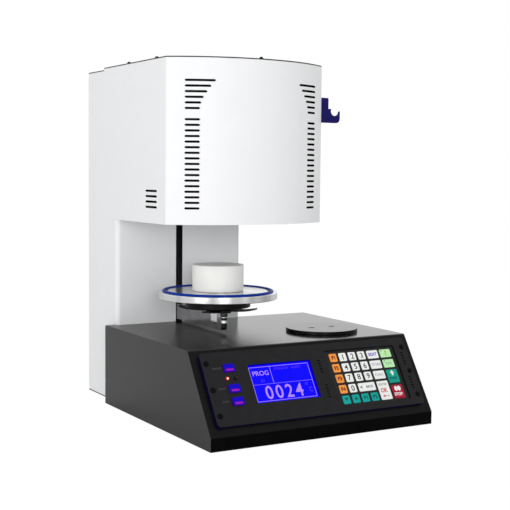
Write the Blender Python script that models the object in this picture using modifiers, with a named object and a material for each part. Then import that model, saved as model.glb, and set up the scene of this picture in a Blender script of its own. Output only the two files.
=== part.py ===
"""Dental laboratory furnace with a bottom-loading firing chamber.

A black base with a sloping control panel carries a white column and head.
The head holds a round vacuum chamber whose mouth faces down.  A motor in the
column drives a lead screw that lifts an arm, a sprung platform and its seal
until the platform closes the chamber.

Units are metres, +Z is up, +X is to the right and the control panel faces -Y.
The origin is on the bench, under the middle of the bounding box.
"""
import math

import bmesh
import bpy
from mathutils import Matrix, Vector

# Clearances shared by every piece
GAP = 0.0003
OVERRUN = 0.001
GRID = 2 ** -20
SHEET = 0.0015

# Base
BASE_WIDTH = 0.380
BASE_DEPTH = 0.370
BASE_HEIGHT = 0.130
BASE_SHEET = 0.002
BASE_BEND = 0.004
LIP_HEIGHT = 0.020
SKIRT_HEIGHT = 0.001
SLOPE_RUN = 0.072
FOOT_HEIGHT = 0.003
FOOT_RADIUS = 0.010
FOOT_INSET = 0.025

# Column and head
WALL_INSET = 0.015
COLUMN_WIDTH = 0.230
COLUMN_DEPTH = 0.120
COLUMN_INSET = 0.011
COLUMN_BEND = 0.008
SLOT_OFFSET = 0.1135
SLOT_WIDTH = 0.0125
HEAD_WIDTH = 0.273
HEAD_BOTTOM = 0.302
HEAD_TOP = 0.549
HEAD_REACH = 0.1836
HEAD_BEND = 0.006
FRONT_SAGITTA = 0.047
REAR_STEP = 0.0035
REAR_TOP_DEPTH = 0.068
REAR_CORNER = 0.006

# Vents in the head's sheet
VENT_ROWS = 24
VENT_SKIPPED_ROW = 17
VENT_PITCH = 0.00816
VENT_RISE = 0.0245
VENT_HEIGHT = 0.0034
VENT_OUTER = 0.114
VENT_LENGTH = 0.0212
VENT_GROWTH = 0.0208
VENT_GROWTH_POWER = 1.6
SIDE_VENT_ROWS = 4
SIDE_VENT_LENGTH = 0.041
SIDE_VENT_SETBACK = 0.030

# Covers
TOP_SCREW_RADIUS = 0.0028
TOP_SCREW_HEIGHT = 0.0025
TOP_SCREW_SHANK = 0.0015
TOP_SCREW_LENGTH = 0.008
TOP_SCREW_INSET = 0.005
TOP_SCREW_FRONT = 0.042
TOP_SCREW_PITCH = 0.103
REAR_REACH = 0.009
GRILLE_RADIUS = 0.034
GRILLE_SLOTS = 9
GRILLE_SLOT_HEIGHT = 0.0035
LOUVRE_ROWS = 6
LOUVRE_LENGTH = 0.050
LOUVRE_PITCH = 0.010
LOUVRE_RISE = 0.130

# Hook for the tongs
HOOK_REACH = 0.0382
HOOK_HEIGHT = 0.0395
HOOK_THICKNESS = 0.004
HOOK_DROP = 0.0492
HOOK_SETBACK = 0.0066
HOOK_NECK = 0.0160
HOOK_SHOULDER_DROP = 0.0172
HOOK_NOTCH_RADIUS = 0.0080
HOOK_NOTCH_REACH = 0.0288
HOOK_NOTCH_DROP = 0.0203
HOOK_CORNER = 0.007

# Control panel, in the slope's own plane: across, then up the slope
PANEL_LEFT_INSET = 0.0125
PANEL_RIGHT_INSET = 0.011
PANEL_LOW = 0.0127
PANEL_TOP_INSET = 0.008
PANEL_THICKNESS = 0.0055
PANEL_CORNER = 0.006
PANEL_SCREW_SIDE_SHARES = (0.238, 0.322)
PANEL_SCREW_ROW_SHARES = (0.142, 0.492, 0.852)
PANEL_SCREW_RADIUS = 0.0034
PANEL_SCREW_HEIGHT = 0.0016
PANEL_SCREW_SHANK = 0.0014
PANEL_SCREW_LENGTH = 0.0100
OPENING_INSET = 0.0075
DISPLAY_WIDTH = 0.1056
DISPLAY_HEIGHT = 0.0588
DISPLAY_GLASS = 0.0022
DISPLAY_RISE_SHARE = 0.547
MODULE_MARGIN = 0.0040
MODULE_DEPTH = 0.0080
SPEAKER_SLOTS = 5
SPEAKER_PITCH = 0.0046
SPEAKER_LENGTH = 0.0055
SPEAKER_HEIGHT = 0.0018
SPEAKER_ROW_SHARES = (0.241, 0.598)

# The gaps beside the buttons, the display and the keypad, left to right
PANEL_GAP_SHARES = (0.3040, 0.2063, 0.2735, 0.2162)

# Keypad
KEYPAD_LOW_MARGIN = 0.0096
KEYPAD_TOP_MARGIN = 0.0124
KEYPAD_RECESS = 0.0025
KEYPAD_FLANGE = 0.0012
KEYPAD_FLANGE_RIM = 0.0015
KEY_RELIEF = 0.0009
KEY_ROWS = 5
KEY_LEFT_RIM = 0.0073
KEY_RIGHT_RIM = 0.0075
KEY_LOW_RIM = 0.0034
KEY_TOP_RIM = 0.0047
KEY_SPACE = 0.0037
KEY_PITCH_ACROSS = 0.0171
KEY_WIDTH = 0.0127
WIDE_KEY_WIDTH = 0.0200
END_KEY_SPACE = 0.0041
END_KEY_WIDTH = 0.0197
KEY_CORNER = 0.0015

# Push buttons and lamps left of the display
BUTTON_SHARES = (0.767, 0.486, 0.311)
BUTTON_WIDTH = 0.0175
BUTTON_SPACE = 0.0073
BUTTON_STAND = 0.0022
BUTTON_FLANGE = 0.0012
BUTTON_FLANGE_RIM = 0.0013
BUTTON_STEM_RADIUS = 0.003
BUTTON_STEM_LENGTH = 0.003
BUTTON_TRAVEL = 0.002
LAMP_RISE_SHARE = 0.626
LAMP_SPACING = 0.0139
LAMP_RADIUS = 0.0025
LAMP_STAND = 0.0012
BOARD_THICKNESS = 0.0016
BOARD_MARGIN = 0.0050
BOARD_POST_RADIUS = 0.002

# Cooling plate on the base
PLATE_RADIUS = 0.0570
PLATE_THICKNESS = 0.005
PLATE_RIGHT_INSET = 0.0965
PLATE_FRONT_INSET = 0.1605
PLATE_HOLE_SPACING = 0.038
PLATE_HOLE_LENGTH = 0.011
PLATE_HOLE_WIDTH = 0.006

# Lift arm and its stud
ARM_CLEARANCE = 0.005
ARM_HEIGHT = 0.025
ARM_WIDTH = 0.0105
ARM_FACE_SETBACK = 0.013
LIP_THICKNESS = 0.011
NOTCH_LENGTH = 0.023
NOSE_HEIGHT = 0.019
NOSE_ROUND = 0.0045
STUD_OFFSET = 0.0205
STUD_NUT_RADIUS = 0.005
STUD_NUT_HEIGHT = 0.0012
STUD_NECK_RADIUS = 0.0042
STUD_HEAD_RADIUS = 0.0058
STUD_HEIGHT = 0.0075
STUD_PIN_RADIUS = 0.002
STUD_PIN_LENGTH = 0.007
ROOT_WIDTH = 0.040
ROOT_THICKNESS = 0.0077
ROOT_MARGIN = 0.005

# Leaf spring plate
LEAF_REACH = 0.063
LEAF_WIDTH = 0.020
LEAF_THICKNESS = 0.0022
LEAF_RISE = 0.0024
LEAF_DISC_RADIUS = 0.022
LEAF_DISC_THICKNESS = 0.0025
LEAF_HUB_RADIUS = 0.0112
LEAF_HUB_HEIGHT = 0.0035
LEAF_SPANS = 16

# Firing platform, seal and pedestal
CHAMBER_SETBACK = 0.0466
PLATFORM_RADIUS = 0.0932
PLATFORM_THICKNESS = 0.0105
PLATFORM_PLATEAU = 0.001
PLATFORM_EDGE = 0.0010
PLATFORM_FLOAT = 0.002
SEAL_RADIUS = 0.0842
SEAL_WIRE = 0.0028
SEAT_DISC_RADIUS = 0.0515
SEAT_DISC_THICKNESS = 0.013
SEAT_BOSS_RADIUS = 0.012
SEAT_BOSS_HEIGHT = 0.003
PEDESTAL_RADIUS = 0.0402
PEDESTAL_HEIGHT = 0.041
PEDESTAL_EDGE = 0.0012

# Lift drive inside the column
DRIVE_SETBACK = 0.055
ROD_SPACING = 0.080
ROD_RADIUS = 0.004
SCREW_RADIUS = 0.004
FRAME_WIDTH = 0.120
FRAME_PLATE = 0.004
FRAME_SETBACK = 0.0315
FRAME_SHELF_FRONT = 0.035
FRAME_LOWER_SHELF = 0.066
FRAME_TOP_MARGIN = 0.004
MOTOR_SIDE = 0.042
MOTOR_HEIGHT = 0.0477
MOTOR_CORNER = 0.004
SHAFT_RADIUS = 0.0025
SHAFT_DEPTH = 0.006
PILOT_RADIUS = 0.0115
COUPLING_RADIUS = 0.0095
COUPLING_HEIGHT = 0.025
COUPLING_STAND = 0.006
CARRIAGE_WIDTH = 0.104
CARRIAGE_DEPTH = 0.036
CARRIAGE_HEIGHT = 0.040
CARRIAGE_DROP = 0.007
NUT_FLANGE_RADIUS = 0.011
NUT_FLANGE_HEIGHT = 0.004
NUT_BARREL_RADIUS = 0.0065
NUT_BARREL_HEIGHT = 0.022

# Vacuum chamber
FLANGE_RADIUS = 0.0892
FLANGE_FACE_RADIUS = 0.0873
FLANGE_THICKNESS = 0.008
MOUTH_RADIUS = 0.050
POT_RADIUS = 0.086
POT_WALL = 0.003
POT_HEIGHT = 0.160
CAVITY_HEIGHT = 0.120
COIL_RADIUS = 0.0480
COIL_WIRE = 0.0013
COIL_TURNS = 7
COIL_PITCH = 0.011
COIL_RISE = 0.020
COIL_POINTS_PER_TURN = 12
PROBE_RADIUS = 0.003
PROBE_REACH = 0.025
PROBE_HOLE_RADIUS = 0.0035
PROBE_HEAD_RADIUS = 0.008
PROBE_HEAD_HEIGHT = 0.016

# Fan behind the rear cover
FAN_SIDE = 0.080
FAN_DEPTH = 0.025
FAN_BORE_RADIUS = 0.037
FAN_LEFT_INSET = 0.060
FAN_DROP = 0.090
FAN_HUB_RADIUS = 0.0145
FAN_HUB_DEPTH = 0.015
FAN_BLADE_REACH = 0.035
FAN_BLADE_THICKNESS = 0.0016
FAN_BLADE_DEPTH = 0.011
FAN_BLADE_ANGLE = math.radians(35)
FAN_BLADES = 7
FAN_PIN_RADIUS = 0.0018
FAN_STRUTS = 3
FAN_STRUT_WIDTH = 0.004
FAN_SEAT_DEPTH = 0.006

# Mains inlet with its rocker switch
INLET_RIGHT_INSET = 0.035
INLET_RISE = 0.040
INLET_WIDTH = 0.028
INLET_HEIGHT = 0.048
INLET_DEPTH = 0.024
INLET_RIM = 0.003
INLET_FLANGE = 0.002
SOCKET_WIDTH = 0.022
SOCKET_HEIGHT = 0.016
SOCKET_DEPTH = 0.016
SOCKET_MARGIN = 0.004
PRONG_WIDTH = 0.002
PRONG_HEIGHT = 0.004
PRONG_LENGTH = 0.010
PRONG_SPACING = 0.014
ROCKER_WIDTH = 0.019
ROCKER_LENGTH = 0.0130
ROCKER_DEPTH = 0.0055
ROCKER_WINDOW_LENGTH = 0.0150
ROCKER_POCKET = 0.008
ROCKER_TILT = math.radians(7)

# Vacuum connection
PORT_RIGHT_INSET = 0.068
PORT_RISE = 0.058
PORT_FLANGE_RADIUS = 0.009
PORT_FLANGE = 0.002
PORT_STEM_RADIUS = 0.004
PORT_BARB_RADIUS = 0.0046
PORT_BORE_RADIUS = 0.0018
PORT_INNER_LENGTH = 0.008
HOSE_RADIUS = 0.004
HOSE_RISE = 0.148
HOSE_LEAD = 0.040
HOSE_END = 0.008
HOSE_POINTS = 14

# Electrics inside the base
TRANSFORMER_WIDTH = 0.070
TRANSFORMER_DEPTH = 0.060
TRANSFORMER_HEIGHT = 0.062
TRANSFORMER_COIL_RIM = 0.010
TRANSFORMER_RIGHT_INSET = 0.045
TRANSFORMER_REAR_INSET = 0.040
CONTROL_BOARD_WIDTH = 0.140
CONTROL_BOARD_DEPTH = 0.110
CONTROL_BOARD_LIFT = 0.008
CONTROL_BOARD_FRONT_INSET = 0.120
HEAT_SINK_HEIGHT = 0.030
RELAY_HEIGHT = 0.018
STANDOFF_RADIUS = 0.003

# Facets of round pieces
ROUND_STEPS = 40
SMALL_STEPS = 16
TINY_STEPS = 10
ARC_STEPS = 26
BEND_STEPS = 4

# Places worked out from the sizes above
TOTAL_DEPTH = BASE_DEPTH - COLUMN_INSET + COLUMN_DEPTH + REAR_REACH
FRONT_Y = -TOTAL_DEPTH / 2
BASE_REAR_Y = FRONT_Y + BASE_DEPTH
COLUMN_FRONT_Y = BASE_REAR_Y - COLUMN_INSET
COLUMN_REAR_Y = COLUMN_FRONT_Y + COLUMN_DEPTH
LEFT_X = -BASE_WIDTH / 2 + WALL_INSET
COLUMN_RIGHT_X = LEFT_X + COLUMN_WIDTH
HEAD_RIGHT_X = LEFT_X + HEAD_WIDTH
HEAD_MIDDLE_X = LEFT_X + HEAD_WIDTH / 2
CORNER_Y = COLUMN_FRONT_Y - HEAD_REACH
HEAD_FRONT_Y = CORNER_Y - FRONT_SAGITTA
STEP_Y = COLUMN_REAR_Y - REAR_TOP_DEPTH
AXIS_X = LEFT_X + SLOT_OFFSET
PLATFORM_Y = CORNER_Y + CHAMBER_SETBACK
PAN_BOTTOM = FOOT_HEIGHT + GAP
PAN_TOP = PAN_BOTTOM + SHEET
WALL_BOTTOM = PAN_TOP + GAP
SHELL_TOP = HEAD_TOP - SHEET - GAP
REAR_TOP = HEAD_TOP - REAR_STEP
REAR_SHELL_TOP = REAR_TOP - SHEET - GAP
REAR_INNER_Y = COLUMN_REAR_Y - SHEET - GAP
SLOPE_RISE = BASE_HEIGHT - LIP_HEIGHT
SLOPE_ANGLE = math.atan2(SLOPE_RISE, SLOPE_RUN)
SLOPE_LENGTH = math.hypot(SLOPE_RISE, SLOPE_RUN)
PANEL_LEFT = -BASE_WIDTH / 2 + PANEL_LEFT_INSET
PANEL_RIGHT = BASE_WIDTH / 2 - PANEL_RIGHT_INSET
PANEL_HIGH = SLOPE_LENGTH - PANEL_TOP_INSET
PANEL_HEIGHT = PANEL_HIGH - PANEL_LOW
KEYPAD_LOW = PANEL_LOW + KEYPAD_LOW_MARGIN
KEYPAD_HEIGHT = PANEL_HEIGHT - KEYPAD_LOW_MARGIN - KEYPAD_TOP_MARGIN
KEY_FIELD = KEYPAD_HEIGHT - KEY_LOW_RIM - KEY_TOP_RIM
KEY_PITCH_UP = (KEY_FIELD + KEY_SPACE) / KEY_ROWS
KEY_HEIGHT = KEY_PITCH_UP - KEY_SPACE
TALL_KEY_HEIGHT = KEY_PITCH_UP + KEY_HEIGHT
END_KEY_HEIGHT = 1.5 * KEY_PITCH_UP - KEY_SPACE
BACK_KEY_WIDTH = KEY_PITCH_ACROSS + KEY_WIDTH
KEYPAD_WIDTH = (
    KEY_LEFT_RIM
    + 4 * KEY_PITCH_ACROSS
    + WIDE_KEY_WIDTH
    + END_KEY_SPACE
    + END_KEY_WIDTH
    + KEY_RIGHT_RIM
)
PANEL_SPARE = PANEL_RIGHT - PANEL_LEFT - BUTTON_WIDTH - DISPLAY_WIDTH - KEYPAD_WIDTH
PANEL_GAPS = [share * PANEL_SPARE for share in PANEL_GAP_SHARES]
BUTTON_ACROSS = PANEL_LEFT + PANEL_GAPS[0] + BUTTON_WIDTH / 2
DISPLAY_LEFT = BUTTON_ACROSS + BUTTON_WIDTH / 2 + PANEL_GAPS[1]
KEYPAD_LEFT = DISPLAY_LEFT + DISPLAY_WIDTH + PANEL_GAPS[2]
KEYPAD_RIGHT = KEYPAD_LEFT + KEYPAD_WIDTH
KEY_LEFT = KEYPAD_LEFT + KEY_LEFT_RIM
KEY_LOW = KEYPAD_LOW + KEY_LOW_RIM
WIDE_KEY_LEFT = KEY_LEFT + 4 * KEY_PITCH_ACROSS
END_KEY_LEFT = WIDE_KEY_LEFT + WIDE_KEY_WIDTH + END_KEY_SPACE
DISPLAY_LOW = PANEL_LOW + DISPLAY_RISE_SHARE * (PANEL_HEIGHT - DISPLAY_HEIGHT)
BUTTON_HEIGHTS = [PANEL_LOW + share * PANEL_HEIGHT for share in BUTTON_SHARES]
BUTTON_DEPTH = BUTTON_HEIGHTS[1] - BUTTON_HEIGHTS[2] - BUTTON_SPACE
LAMP_HEIGHT = PANEL_LOW + LAMP_RISE_SHARE * PANEL_HEIGHT
LAMP_ACROSS = (BUTTON_ACROSS - LAMP_SPACING / 2, BUTTON_ACROSS + LAMP_SPACING / 2)
SPEAKER_ACROSS = (DISPLAY_LEFT + DISPLAY_WIDTH + PANEL_GAPS[2] / 2, KEYPAD_RIGHT + PANEL_GAPS[3] / 2)
ARM_BOTTOM = BASE_HEIGHT + ARM_CLEARANCE
ARM_TOP = ARM_BOTTOM + ARM_HEIGHT
STUD_Y = PLATFORM_Y - STUD_OFFSET
NOTCH_FLOOR = ARM_BOTTOM + LIP_THICKNESS
NOSE_TOP = ARM_BOTTOM + NOSE_HEIGHT
STUD_TOP = NOSE_TOP + GAP + STUD_HEIGHT
LEAF_BOTTOM = STUD_TOP + GAP
LEAF_TOP = LEAF_BOTTOM + LEAF_HUB_HEIGHT + LEAF_DISC_THICKNESS / 2
SEAT_BOTTOM = LEAF_TOP + GAP
SEAT_TOP = SEAT_BOTTOM + SEAT_BOSS_HEIGHT + SEAT_DISC_THICKNESS
PLATFORM_BOTTOM = SEAT_TOP + GAP
PLATFORM_TOP = PLATFORM_BOTTOM + PLATFORM_THICKNESS
PLATEAU_TOP = PLATFORM_TOP + PLATFORM_PLATEAU
DRIVE_Y = COLUMN_FRONT_Y + DRIVE_SETBACK
FRAME_FRONT_Y = COLUMN_REAR_Y - FRAME_SETBACK
FRAME_TOP = HEAD_BOTTOM - FRAME_TOP_MARGIN
UPPER_SHELF = FRAME_TOP - FRAME_PLATE
LOWER_SHELF_TOP = FRAME_LOWER_SHELF + FRAME_PLATE
MOTOR_TOP = FRAME_LOWER_SHELF - GAP
COUPLING_BOTTOM = LOWER_SHELF_TOP + COUPLING_STAND
COUPLING_TOP = COUPLING_BOTTOM + COUPLING_HEIGHT
CARRIAGE_BOTTOM = ARM_BOTTOM - CARRIAGE_DROP
CARRIAGE_TOP = CARRIAGE_BOTTOM + CARRIAGE_HEIGHT
FLANGE_TOP = HEAD_BOTTOM + FLANGE_THICKNESS
POT_BOTTOM = FLANGE_TOP + GAP
POT_TOP = POT_BOTTOM + POT_HEIGHT

CLOSED_PATH = True
ORIGIN = Vector((0, 0, 0))

# Finishes: colour, roughness, metallic
WHITE_PAINT = ((0.86, 0.87, 0.88), 0.45, 0.0)
BLACK_PAINT = ((0.035, 0.035, 0.037), 0.5, 0.0)
PANEL_BLACK = ((0.018, 0.018, 0.024), 0.4, 0.0)
POLISHED_STEEL = ((0.80, 0.80, 0.81), 0.12, 1.0)
BRIGHT_ALUMINIUM = ((0.70, 0.71, 0.72), 0.3, 1.0)
DARK_STEEL = ((0.10, 0.10, 0.11), 0.35, 0.9)
PLAIN_STEEL = ((0.55, 0.56, 0.58), 0.3, 1.0)
BRASS = ((0.72, 0.53, 0.20), 0.3, 1.0)
CERAMIC = ((0.93, 0.93, 0.90), 0.8, 0.0)
FIBRE = ((0.88, 0.86, 0.80), 0.95, 0.0)
SEAL_BLUE = ((0.02, 0.09, 0.62), 0.45, 0.0)
HOOK_BLUE = ((0.015, 0.008, 0.14), 0.45, 0.0)
BUTTON_BLUE = ((0.05, 0.02, 0.62), 0.3, 0.0)
LAMP_RED = ((0.85, 0.03, 0.05), 0.25, 0.0)
LAMP_DARK = ((0.10, 0.02, 0.02), 0.25, 0.0)
DISPLAY_BLUE = ((0.01, 0.0, 0.90), 0.15, 0.0)
KEYPAD_WHITE = ((0.80, 0.80, 0.80), 0.5, 0.0)
BOARD_GREEN = ((0.02, 0.20, 0.08), 0.5, 0.0)
RUBBER = ((0.03, 0.03, 0.03), 0.9, 0.0)
PLASTIC = ((0.04, 0.04, 0.045), 0.5, 0.0)
HEATER_WIRE = ((0.45, 0.42, 0.40), 0.5, 0.9)


def clear_scene():
    """Remove every object that the file opened with."""
    for item in list(bpy.data.objects):
        bpy.data.objects.remove(item, do_unlink=True)


def new_collection(name):
    """Add a collection to the scene."""
    collection = bpy.data.collections.new(name)
    bpy.context.scene.collection.children.link(collection)
    return collection


clear_scene()
PARTS = new_collection("dental_furnace")
CUTTERS = new_collection("cutters")


def paint(item, finish):
    """Give an object a Principled material of its own."""
    colour, roughness, metallic = finish
    material = bpy.data.materials.new(item.name)
    material.use_nodes = True
    shader = material.node_tree.nodes["Principled BSDF"]
    shader.inputs["Base Color"].default_value = (*colour, 1.0)
    shader.inputs["Roughness"].default_value = roughness
    shader.inputs["Metallic"].default_value = metallic
    material.diffuse_color = (*colour, 1.0)
    item.data.materials.clear()
    item.data.materials.append(material)


def add_part(name, mesh, finish, place=ORIGIN, parent=None):
    """Link a mesh as one sub-part, with its origin at place."""
    mesh.name = name
    item = bpy.data.objects.new(name, mesh)
    PARTS.objects.link(item)
    item.location = place
    item.parent = parent
    paint(item, finish)
    return item


def add_tool(name, mesh, place=ORIGIN, parent=None):
    """Link a mesh as the operand of a Boolean."""
    mesh.name = name
    item = bpy.data.objects.new(name, mesh)
    CUTTERS.objects.link(item)
    item.location = place
    item.parent = parent
    item.hide_render = True
    item.display_type = "WIRE"
    return item


def combine(item, tool, operation):
    """Add an exact Boolean modifier."""
    modifier = item.modifiers.new(operation.lower(), "BOOLEAN")
    modifier.object = tool
    modifier.operation = operation
    modifier.solver = "EXACT"


def cut(item, tool):
    combine(item, tool, "DIFFERENCE")


def fuse(item, tool):
    combine(item, tool, "UNION")


def smooth(item, angle=math.radians(35)):
    """Shade a round piece smooth, keeping its real edges."""
    item.data.shade_smooth()
    item.data.set_sharp_from_angle(angle=angle)


def bevel(item, width, steps=1):
    """Break the sharp edges of a piece."""
    modifier = item.modifiers.new("edge", "BEVEL")
    modifier.width = width
    modifier.segments = steps
    modifier.limit_method = "ANGLE"


def settle(shape, name):
    """Return a mesh of the shape, its corners on a fine grid so that faces line up."""
    for vertex in shape.verts:
        vertex.co = [round(value / GRID) * GRID for value in vertex.co]
    mesh = bpy.data.meshes.new(name)
    shape.to_mesh(mesh)
    shape.free()
    return mesh


def box_mesh(boxes):
    """Return a mesh of boxes, each given by its low and high corners."""
    shape = bmesh.new()
    for low, high in boxes:
        made = bmesh.ops.create_cube(shape, size=1)
        low = Vector(low)
        high = Vector(high)
        bmesh.ops.scale(shape, vec=high - low, verts=made["verts"])
        bmesh.ops.translate(shape, vec=(low + high) / 2, verts=made["verts"])
    return settle(shape, "box")


def rod_mesh(rods, steps=SMALL_STEPS):
    """Return a mesh of cylinders, each with two end centres and a radius."""
    shape = bmesh.new()
    for start, end, radius in rods:
        start = Vector(start)
        end = Vector(end)
        span = end - start
        turn = Vector((0, 0, 1)).rotation_difference(span).to_matrix().to_4x4()
        bmesh.ops.create_cone(
            shape,
            cap_ends=True,
            segments=steps,
            radius1=radius,
            radius2=radius,
            depth=span.length,
            matrix=Matrix.Translation((start + end) / 2) @ turn,
        )
    return settle(shape, "rod")


def plate_mesh(outlines, thickness, turn=Matrix()):
    """Return a flat plate, its first outline the rim and the others holes."""
    curve = bpy.data.curves.new("outline", "CURVE")
    curve.dimensions = "2D"
    curve.fill_mode = "BOTH"
    curve.extrude = thickness / 2
    for outline in outlines:
        spline = curve.splines.new("POLY")
        spline.points.add(len(outline) - 1)
        for point, (across, up) in zip(spline.points, outline):
            point.co = (across, up, 0, 1)
        spline.use_cyclic_u = CLOSED_PATH
    holder = bpy.data.objects.new("outline", curve)
    CUTTERS.objects.link(holder)
    view = bpy.context.evaluated_depsgraph_get()
    mesh = bpy.data.meshes.new_from_object(holder.evaluated_get(view))
    bpy.data.objects.remove(holder, do_unlink=True)
    bpy.data.curves.remove(curve)
    shape = bmesh.new()
    shape.from_mesh(mesh)
    bmesh.ops.remove_doubles(shape, verts=shape.verts, dist=GAP / 100)
    bmesh.ops.recalc_face_normals(shape, faces=shape.faces)
    bmesh.ops.transform(shape, matrix=turn, verts=shape.verts)
    bpy.data.meshes.remove(mesh)
    return settle(shape, "plate")


def turned_mesh(profile, closed=False):
    """Return the open or closed edge path that a Screw modifier turns."""
    mesh = bpy.data.meshes.new("profile")
    count = len(profile)
    edges = [(index, index + 1) for index in range(count - 1)]
    if closed:
        edges.append((count - 1, 0))
    mesh.from_pydata([(radius, 0, height) for radius, height in profile], edges, [])
    return mesh


def turn(item, steps=ROUND_STEPS):
    """Turn a profile about the object's Z axis."""
    modifier = item.modifiers.new("turn", "SCREW")
    modifier.steps = steps
    modifier.render_steps = steps
    modifier.use_merge_vertices = True
    modifier.merge_threshold = GAP / 10
    modifier.use_smooth_shade = True


def tube_mesh(points, radius, resolution):
    """Return a round tube along a path, with its caps welded on."""
    curve = bpy.data.curves.new("tube", "CURVE")
    curve.dimensions = "3D"
    curve.bevel_depth = radius
    curve.bevel_resolution = resolution
    curve.use_fill_caps = True
    spline = curve.splines.new("POLY")
    spline.points.add(len(points) - 1)
    for node, point in zip(spline.points, points):
        node.co = (*point, 1)
    holder = bpy.data.objects.new("tube", curve)
    CUTTERS.objects.link(holder)
    view = bpy.context.evaluated_depsgraph_get()
    mesh = bpy.data.meshes.new_from_object(holder.evaluated_get(view))
    bpy.data.objects.remove(holder, do_unlink=True)
    bpy.data.curves.remove(curve)
    shape = bmesh.new()
    shape.from_mesh(mesh)
    bmesh.ops.remove_doubles(shape, verts=shape.verts, dist=GAP / 100)
    bmesh.ops.recalc_face_normals(shape, faces=shape.faces)
    bpy.data.meshes.remove(mesh)
    return settle(shape, "tube")


def arc(centre, radius, start, end, steps):
    """Return points along an arc, both ends included."""
    points = []
    for index in range(steps + 1):
        angle = start + (end - start) * index / steps
        across = centre[0] + radius * math.cos(angle)
        up = centre[1] + radius * math.sin(angle)
        points.append((across, up))
    return points


def circle(centre, radius, steps=SMALL_STEPS):
    """Return the points of a full circle."""
    return arc(centre, radius, 0, math.tau, steps)[:-1]


def rectangle(low, high, corner=0.0, steps=BEND_STEPS):
    """Return a rectangle's outline, with round corners when asked."""
    if corner == 0:
        return [low, (high[0], low[1]), high, (low[0], high[1])]
    left, right = low[0] + corner, high[0] - corner
    bottom, top = low[1] + corner, high[1] - corner
    quarter = math.pi / 2
    points = arc((left, bottom), corner, 2 * quarter, 3 * quarter, steps)
    points += arc((right, bottom), corner, 3 * quarter, 4 * quarter, steps)
    points += arc((right, top), corner, 0, quarter, steps)
    points += arc((left, top), corner, quarter, 2 * quarter, steps)
    return points


def slot(centre, length, height, steps=2):
    """Return the outline of a level slot with round ends."""
    reach = (length - height) / 2
    quarter = math.pi / 2
    right = (centre[0] + reach, centre[1])
    left = (centre[0] - reach, centre[1])
    points = arc(right, height / 2, -quarter, quarter, steps * 2)
    return points + arc(left, height / 2, quarter, 3 * quarter, steps * 2)


def rounded(path, radii, steps=BEND_STEPS):
    """Replace the named corners of an open path by bends."""
    points = []
    for index, corner in enumerate(path):
        radius = radii.get(index)
        if radius is None:
            points.append(corner)
            continue
        here = Vector(corner)
        back = (Vector(path[index - 1]) - here).normalized()
        ahead = (Vector(path[index + 1]) - here).normalized()
        half = back.angle(ahead) / 2
        reach = radius / math.tan(half)
        centre = here + (back + ahead).normalized() * (radius / math.sin(half))
        first = here + back * reach - centre
        swing = first.angle_signed(here + ahead * reach - centre)
        for step in range(steps + 1):
            turned = Matrix.Rotation(-swing * step / steps, 2) @ first
            points.append(tuple(centre + turned))
    return points


def offset_path(path, distance):
    """Return an open path moved sideways, to its left for a positive distance."""
    moved = []
    count = len(path)
    for index, point in enumerate(path):
        before = Vector(path[max(index - 1, 0)])
        after = Vector(path[min(index + 1, count - 1)])
        here = Vector(point)
        incoming = (here - before).normalized() if index else (after - here).normalized()
        outgoing = (after - here).normalized() if index < count - 1 else incoming
        normal_in = Vector((-incoming.y, incoming.x))
        normal_out = Vector((-outgoing.y, outgoing.x))
        mitre = (normal_in + normal_out).normalized()
        moved.append(tuple(here + mitre * (distance / mitre.dot(normal_in))))
    return moved


def wall_mesh(path, thickness, low, high):
    """Return a standing sheet whose outer face follows a plan path."""
    outline = path + offset_path(path, thickness)[::-1]
    lift = Matrix.Translation((0, 0, (low + high) / 2))
    return plate_mesh([outline], high - low, lift)


def head_path(inset=0.0):
    """Return the head's plan outline, from the rear left round to the rear right."""
    half = HEAD_WIDTH / 2 - inset
    sagitta = FRONT_SAGITTA
    radius = ((HEAD_WIDTH / 2) ** 2 + sagitta ** 2) / (2 * sagitta)
    centre = (HEAD_MIDDLE_X, HEAD_FRONT_Y + radius)
    radius -= inset
    swing = math.asin(half / radius)
    middle = math.radians(270)
    front = arc(centre, radius, middle - swing, middle + swing, ARC_STEPS)
    left_rear = (HEAD_MIDDLE_X - half, COLUMN_REAR_Y)
    right_rear = (HEAD_MIDDLE_X + half, COLUMN_REAR_Y)
    path = [left_rear] + front + [right_rear]
    bends = {1: HEAD_BEND - inset, len(path) - 2: HEAD_BEND - inset}
    return rounded(path, bends)


def standing(across, height=0.0):
    """Return the matrix that stands a flat outline up, facing -Y, at a Y place."""
    return Matrix.Translation((0, across, height)) @ Matrix.Rotation(math.pi / 2, 4, "X")


SIDEWAYS = Matrix.Rotation(math.pi / 2, 4, "Z") @ Matrix.Rotation(math.pi / 2, 4, "X")


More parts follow.
